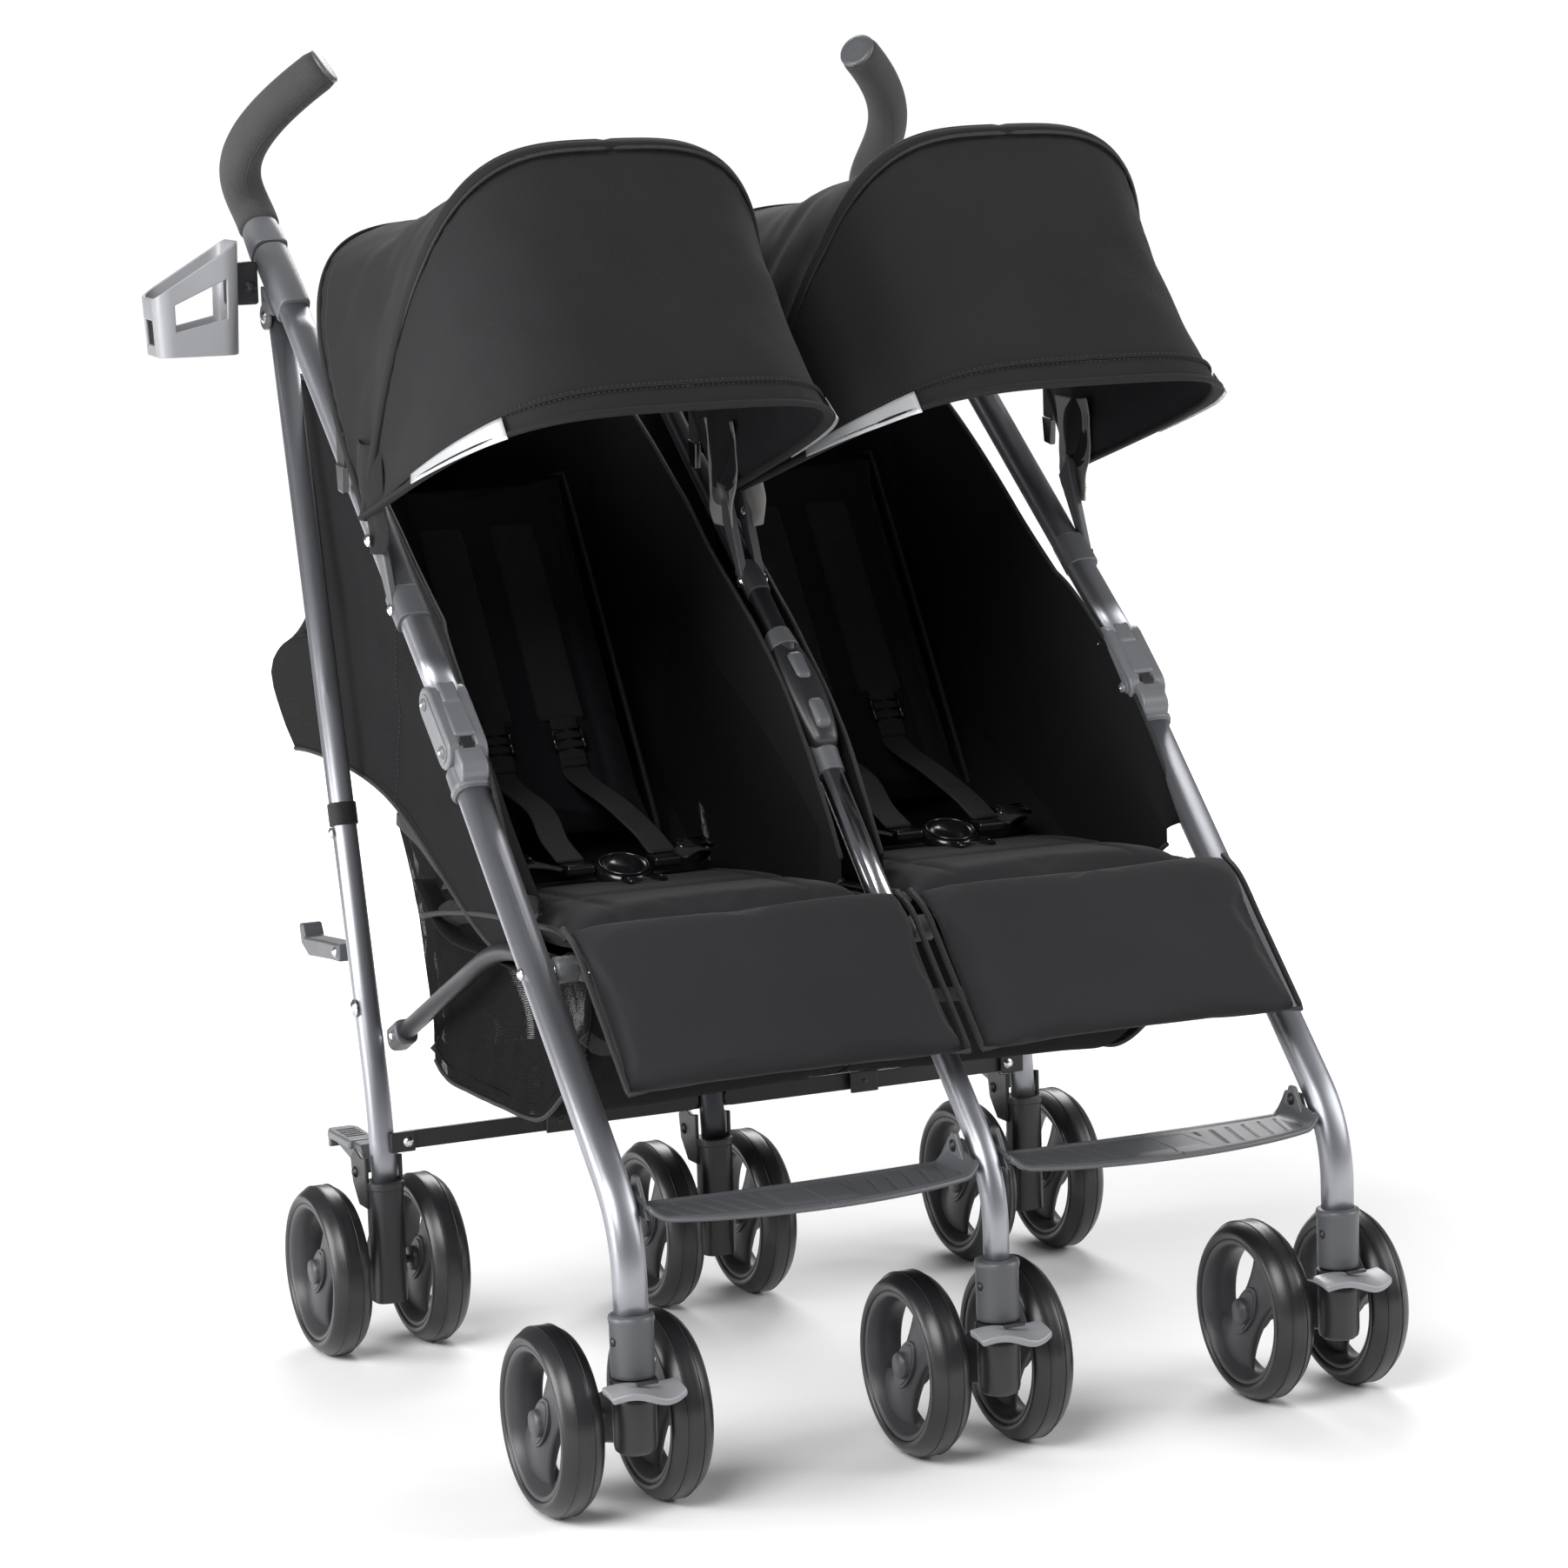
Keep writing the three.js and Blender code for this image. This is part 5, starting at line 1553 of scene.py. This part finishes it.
def seat_pad(side, s):
    corners = [(-148, 425), (-128, 429), (-60, 424), (30, 417), (120, 405), (188, 392)]
    pad = cushion("pad", corners, (SEAT_INNER + 3, SEAT_OUTER - 3), s, "seat")
    puff(pad, 5, 4, 9)
    line = line_through(corners, 33)
    tufted(pad, line, 5, (0.3, 0.62), (SEAT_INNER + 52, SEAT_OUTER - 52))
    finish_pad(pad)
    piping = edge_piping(line, s, SEAT_INNER + 2, SEAT_OUTER - 2, 4)
    whole = fuse(f"seat_cushion_{side}", [pad, piping])
    mount(whole, "rail_center", [f"seat_pad_{side}"], s * SEAT_INNER)
    sling = fuse(f"seat_sling_{side}", seat_floor(s))
    mount(sling, "frame_center", (), s * SEAT_INNER)


def calf_pad(side, s):
    corners = [(-292, 330), (-270, 352), (-230, 392), (-196, 426), (-168, 440)]
    pad = cushion("pad", corners, (SEAT_INNER - 7, PAD_OUTER + 2), s, "seat")
    puff(pad, 5, 3, 6)
    line = line_through(corners, 33)
    finish_pad(pad)
    path_line = [p + Vector((0, -4, 3)) for p in line]
    piping = edge_piping(list(reversed(path_line)), s, SEAT_INNER - 8, PAD_OUTER + 1, 0)
    whole = fuse(f"calf_cushion_{side}", [pad, piping])
    mount(whole, "frame_center", [f"calf_pad_{side}"], s * SEAT_INNER)


def back_point(along, above, x):
    """A point on the backrest's front face line: along runs up it from the seat."""
    return Vector((x, 204 + along * math.cos(BACK_SLOPE) - above * math.sin(BACK_SLOPE),
                   440 + along * math.sin(BACK_SLOPE) + above * math.cos(BACK_SLOPE)))


def backrest(side, s):
    corners = [back_point(a, -13, 0).yz for a in (8, 120, 250, 372)]
    pad = cushion("pad", corners, (50, 262), s, "seat_dark")
    puff(pad, 5, 4, 9)
    line = line_through(corners, 33)
    tufted(pad, line, 5, (0.3, 0.64), (92, 220))
    finish_pad(pad)
    piping = edge_piping(line, s, 49, 263, 2)
    pieces = [pad, piping]
    for x in (122, 190):
        sleeve_line = ((118, 9), (150, 7), (230, 6), (300, 5), (322, 0))
        sleeve_path = [back_point(along, above, s * x) for along, above in sleeve_line]
        pieces.append(strap("sleeve", sleeve_path, 42, 9, "seat"))
        strap_line = ((70, 12), (120, 10), (160, 9))
        strap_path = [back_point(along, above, s * x) for along, above in strap_line]
        pieces.append(strap("shoulder_strap", strap_path, WEBBING_WIDTH, WEBBING_THICKNESS))
        pieces += ladder(back_point(96, 13, s * x), BACK_SLOPE, 27)
    whole = fuse(f"back_cushion_{side}", pieces)
    mount(whole, f"recline_{side}", [f"backrest_{side}"], s * SEAT_INNER)


def ladder(at, slope, width):
    """A three-bar strap adjuster."""
    up = Vector((0, math.cos(slope), math.sin(slope)))
    parts = []
    for step in (-9, 0, 9):
        a, b = at + up * step - X * width / 2, at + up * step + X * width / 2
        parts.append(cord("bar", [a, a.lerp(b, 0.5) + Vector((0, -0.8, 1.2)), b], 2.1, "gloss", 10))
    for side in (-1, 1):
        a, b = at - up * 9.5 + X * side * width / 2, at + up * 9.5 + X * side * width / 2
        parts.append(cord("rail", [a, b], 2.2, "gloss", 10))
    return parts


def buckle(at):
    """The round middle buckle, with a groove round its press button."""
    tilt = (Z * 0.96 - Y * 0.28).normalized()
    button = [(19, 7.5), (18, 6.6), (17.2, 6.6), (15, 9), (8, 10.2), (0, 10.5)]
    body = turned("body", [(0, -6), (22, -6), (25, -3), (25.5, 2), (23.5, 6), *button], at, tilt, "gloss", 64)
    ridge = [(19.6, 7.2), (20.4, 8.6), (21.6, 8.4), (22.4, 6.8)]
    return [body, turned("ring", ridge, at, tilt, "gloss", 64, closed=True)]


def harness(side, s):
    """The straps, clips and buckle that lie on the seat, and the shoulder straps, which stay with the back."""
    middle = s * (SEAT_MIDDLE - 2)
    centre = Vector((middle, 52, 441))

    def run(start, *offsets):
        return [start + Vector(offset) for offset in offsets]
    pieces, straps = buckle(centre), []
    for across in (-1, 1):
        clip_at = centre + Vector((across * 40, 6, 6))
        outline = rectangle(clip_at.x - 13, clip_at.x + 13, clip_at.y - 12, clip_at.y + 12)
        pieces.append(slab("clip", outline, clip_at.z - 5, clip_at.z + 4, "z", "gloss", 3, 4))
        waist = run(clip_at, (across * 10, 0, 0), (across * 34, 22, 2), (across * 62, 70, -6),
                    (across * 72, 118, -18))
        pieces.append(strap("waist", waist, WEBBING_WIDTH, WEBBING_THICKNESS, side=Y))
        pieces += ladder(clip_at + Vector((across * 42, 34, 5)), 0.2, 27)
        shoulder = run(clip_at, (across * 2, 8, 5), (across * 2, 44, 18), (-across * 5, 92, 36))
        shoulder += [back_point(60, 14, s * 156 + across * 34), back_point(82, 13, s * 156 + across * 34)]
        straps.append(strap("shoulder", shoulder, WEBBING_WIDTH, WEBBING_THICKNESS))
    crotch = run(centre, (0, -16, -4), (0, -44, -1), (0, -72, -6), (0, -96, -12))
    pieces.append(strap("crotch", crotch, 27, 2.4))
    pieces += ladder(centre + Vector((0, -46, 1)), 0.0, 30)
    plate = [(middle - 19, -24), (middle + 19, -24), (middle + 15, 10), (middle - 15, 10)]
    pieces.append(slab("crotch_cover", plate, 433, 437, "z", "seat_dark", 2))
    whole = fuse(f"harness_{side}", pieces)
    mount(whole, "rail_center", (), s * SEAT_INNER)
    mount(fuse(f"shoulder_straps_{side}", straps), "upper_center", (), s * SEAT_INNER)


# ------------------------------------------------------------------ basket
BASKET_FLOOR = ((-136, 330), (-92, 290), (-32, 256), (40, 250), (165, 247), (196, 251), (214, 260))
BASKET_TOP = ((-146, 396), (-100, 392), (-40, 384), (42, 390), (130, 412), (214, 445), (284, 464))


def basket_half(side, s):
    """Half of the net bag under the seats: floor, sloping front and back, and the outer side."""
    low, high = cad("basket")
    outer = high.x if s > 0 else -low.x
    profile, top_line = line_through(BASKET_FLOOR, 65), line_through(BASKET_TOP, 65)

    def floor(r, c):
        p = profile[round(r * 64)]
        x = s * (2 + (outer - 4) * c)
        sag = 3 * math.sin(math.pi * r) * (1 - (c - 0.3) ** 2)
        lift = 14 * max(0, (c - 0.93) / 0.07) ** 2
        lift += 14 * (1 - c) * (1 - r)
        return Vector((x, p.y, p.z + 2 - sag * 0.6 + lift + 1.2 * crease(x, p.y, 9, 60)))
    bottom = grid("floor", floor, 64, 72, "net", 1.2, flip=s < 0)

    def wall(r, c):
        base, top = profile[round(c * 64)], top_line[round(c * 64)]
        p = base.lerp(top, r)
        x = s * (outer - 2 - 5 * math.sin(math.pi * r) + 1.5 * crease(p.y, p.z, s, 50))
        return Vector((x, p.y, p.z + 2))
    net = grid("side_net", wall, 24, 64, "net", 1.2, flip=s < 0)
    pieces = [bottom, net]

    def front_wall(r, c):
        base = floor(0, c)
        return base.lerp(Vector((base.x, -150, 400)), r) + Y * 4 * math.sin(math.pi * r)
    pieces.append(grid("front_wall", front_wall, 16, 48, "side", 1.4, flip=s > 0))
    rim = [wall(1, c / 64) for c in range(65)]
    pieces.append(strap("rim_tape", rim, 12, 2.2, "webbing", side=Z))
    pieces.append(cord("floor_piping", [wall(0, c / 64) for c in range(65)], 2.0))
    for name, end in (("front_tape", 0), ("back_tape", 1)):
        line = [floor(end, c / 24) + Z * 1.5 for c in range(25)]
        pieces.append(strap(name, line, 13, 2.2, "webbing", side=Z))
    whole = fuse(f"basket_net_{side}", pieces)
    mount(whole, "frame_center", ["basket"], s * SEAT_INNER)


# ------------------------------------------------------------------ the whole object
for name, x, inward in FRAMES:
    front_leg(name, x, inward)
    upper_tube(name, x, inward)
    rear_leg(name, x, inward)
    caster(name, x)
    swivel_lock(name, x)
    seat_rail(name, x, inward)
    if inward:
        grip(name, x, inward)
        brake_pedal(name, x)
wheels()
cup_holder()
fold_catch()
for name, s in SIDES:
    footrest(name)
    rear_link(name, s)
    canopy(name, s)
    seat_shell(name, s)
    seat_pad(name, s)
    calf_pad(name, s)
    backrest(name, s)
    harness(name, s)
    basket_half(name, s)


# ------------------------------------------------------------------ floor, lights and camera
FLOOR_HALF = 9000
LIGHTS = (                             # name, place in metres, width in metres, watts
    ("key", (-2.6, -2.4, 3.2), 2.2, 155),
    ("fill", (3.0, -1.6, 2.0), 2.2, 85),
    ("back", (1.4, 3.0, 2.8), 2.4, 120),
    ("side", (-3.4, 0.2, 1.3), 2.0, 120),
)
LIGHT_AIM = Vector((0, 0, 0.55))
WORLD_LIGHT, WORLD_SEEN = 0.17, 1.02   # strength of the backdrop as a light, and as the camera sees it
CAMERA_PLACE = Vector((-1.6151, -3.5027, 1.1111))
CAMERA_TURN = [math.radians(angle) for angle in (-24.40, 8.87, -1.74)]   # azimuth, elevation and roll
CAMERA_LENS, SENSOR = 105.99, 36


def paper_look(name, near, far):
    """Pale floor paper that is plain near the object and glows to white further away."""
    n = Nodes(name)
    n.put(color=n.ramp(n.noise(0.8, 3), [(0.3, (0.86, 0.86, 0.86)), (0.7, (0.9, 0.9, 0.9))]), roughness=0.9)
    length = n.add("ShaderNodeVectorMath", operation="LENGTH")
    n.link(n.add("ShaderNodeNewGeometry").outputs["Position"], length.inputs[0])
    fade = n.add("ShaderNodeMapRange", interpolation_type="SMOOTHSTEP")
    fade.inputs["From Min"].default_value = near
    fade.inputs["From Max"].default_value = far
    n.link(length.outputs["Value"], fade.inputs["Value"])
    n.shader.inputs["Emission Color"].default_value = (1, 1, 1, 1)
    n.link(fade.outputs["Result"], n.shader.inputs["Emission Strength"])
    return n.material


LOOK["paper"] = paper_look("paper_floor", 0.7, 2.4)            # both distances in metres


def studio():
    """The floor paper, the white room round it and four soft lights."""
    corners = [(u, v, -0.6) for u, v in rectangle(-FLOOR_HALF, FLOOR_HALF, -FLOOR_HALF, FLOOR_HALF)]
    floor = make("floor", corners, [(0, 1, 2, 3)], "paper")
    world = bpy.data.worlds.new("room")
    world.use_nodes = True
    backdrop = world.node_tree.nodes["Background"]
    backdrop.inputs["Color"].default_value = (1, 1, 1, 1)
    sight = world.node_tree.nodes.new("ShaderNodeLightPath")
    strength = world.node_tree.nodes.new("ShaderNodeMapRange")
    strength.inputs["To Min"].default_value = WORLD_LIGHT
    strength.inputs["To Max"].default_value = WORLD_SEEN
    world.node_tree.links.new(sight.outputs["Is Camera Ray"], strength.inputs["Value"])
    world.node_tree.links.new(strength.outputs["Result"], backdrop.inputs["Strength"])
    bpy.context.scene.world = world
    for name, place, size, watts in LIGHTS:
        data = bpy.data.lights.new(name, "AREA")
        data.shape, data.size, data.energy = "SQUARE", size, watts
        lamp = bpy.data.objects.new(name, data)
        bpy.context.scene.collection.objects.link(lamp)
        lamp.location = MID_FLOOR + Vector(place)
        aim = MID_FLOOR + LIGHT_AIM - lamp.location
        lamp.rotation_euler = aim.to_track_quat("-Z", "Y").to_euler()


def camera():
    azimuth, elevation, roll = CAMERA_TURN
    right = Vector((math.cos(azimuth), math.sin(azimuth), 0))
    back = Vector((math.sin(azimuth) * math.cos(elevation), -math.cos(azimuth) * math.cos(elevation),
                   math.sin(elevation)))
    up = back.cross(right)
    side = right * math.cos(roll) + up * math.sin(roll)
    top = up * math.cos(roll) - right * math.sin(roll)
    data = bpy.data.cameras.new("camera")
    data.lens, data.sensor_width = CAMERA_LENS, SENSOR
    obj = bpy.data.objects.new("camera", data)
    bpy.context.scene.collection.objects.link(obj)
    obj.matrix_world = Matrix((side, top, back)).transposed().to_4x4()
    obj.matrix_world.translation = MID_FLOOR + CAMERA_PLACE
    bpy.context.scene.camera = obj


studio()
camera()
bpy.context.scene.view_settings.view_transform = "Standard"
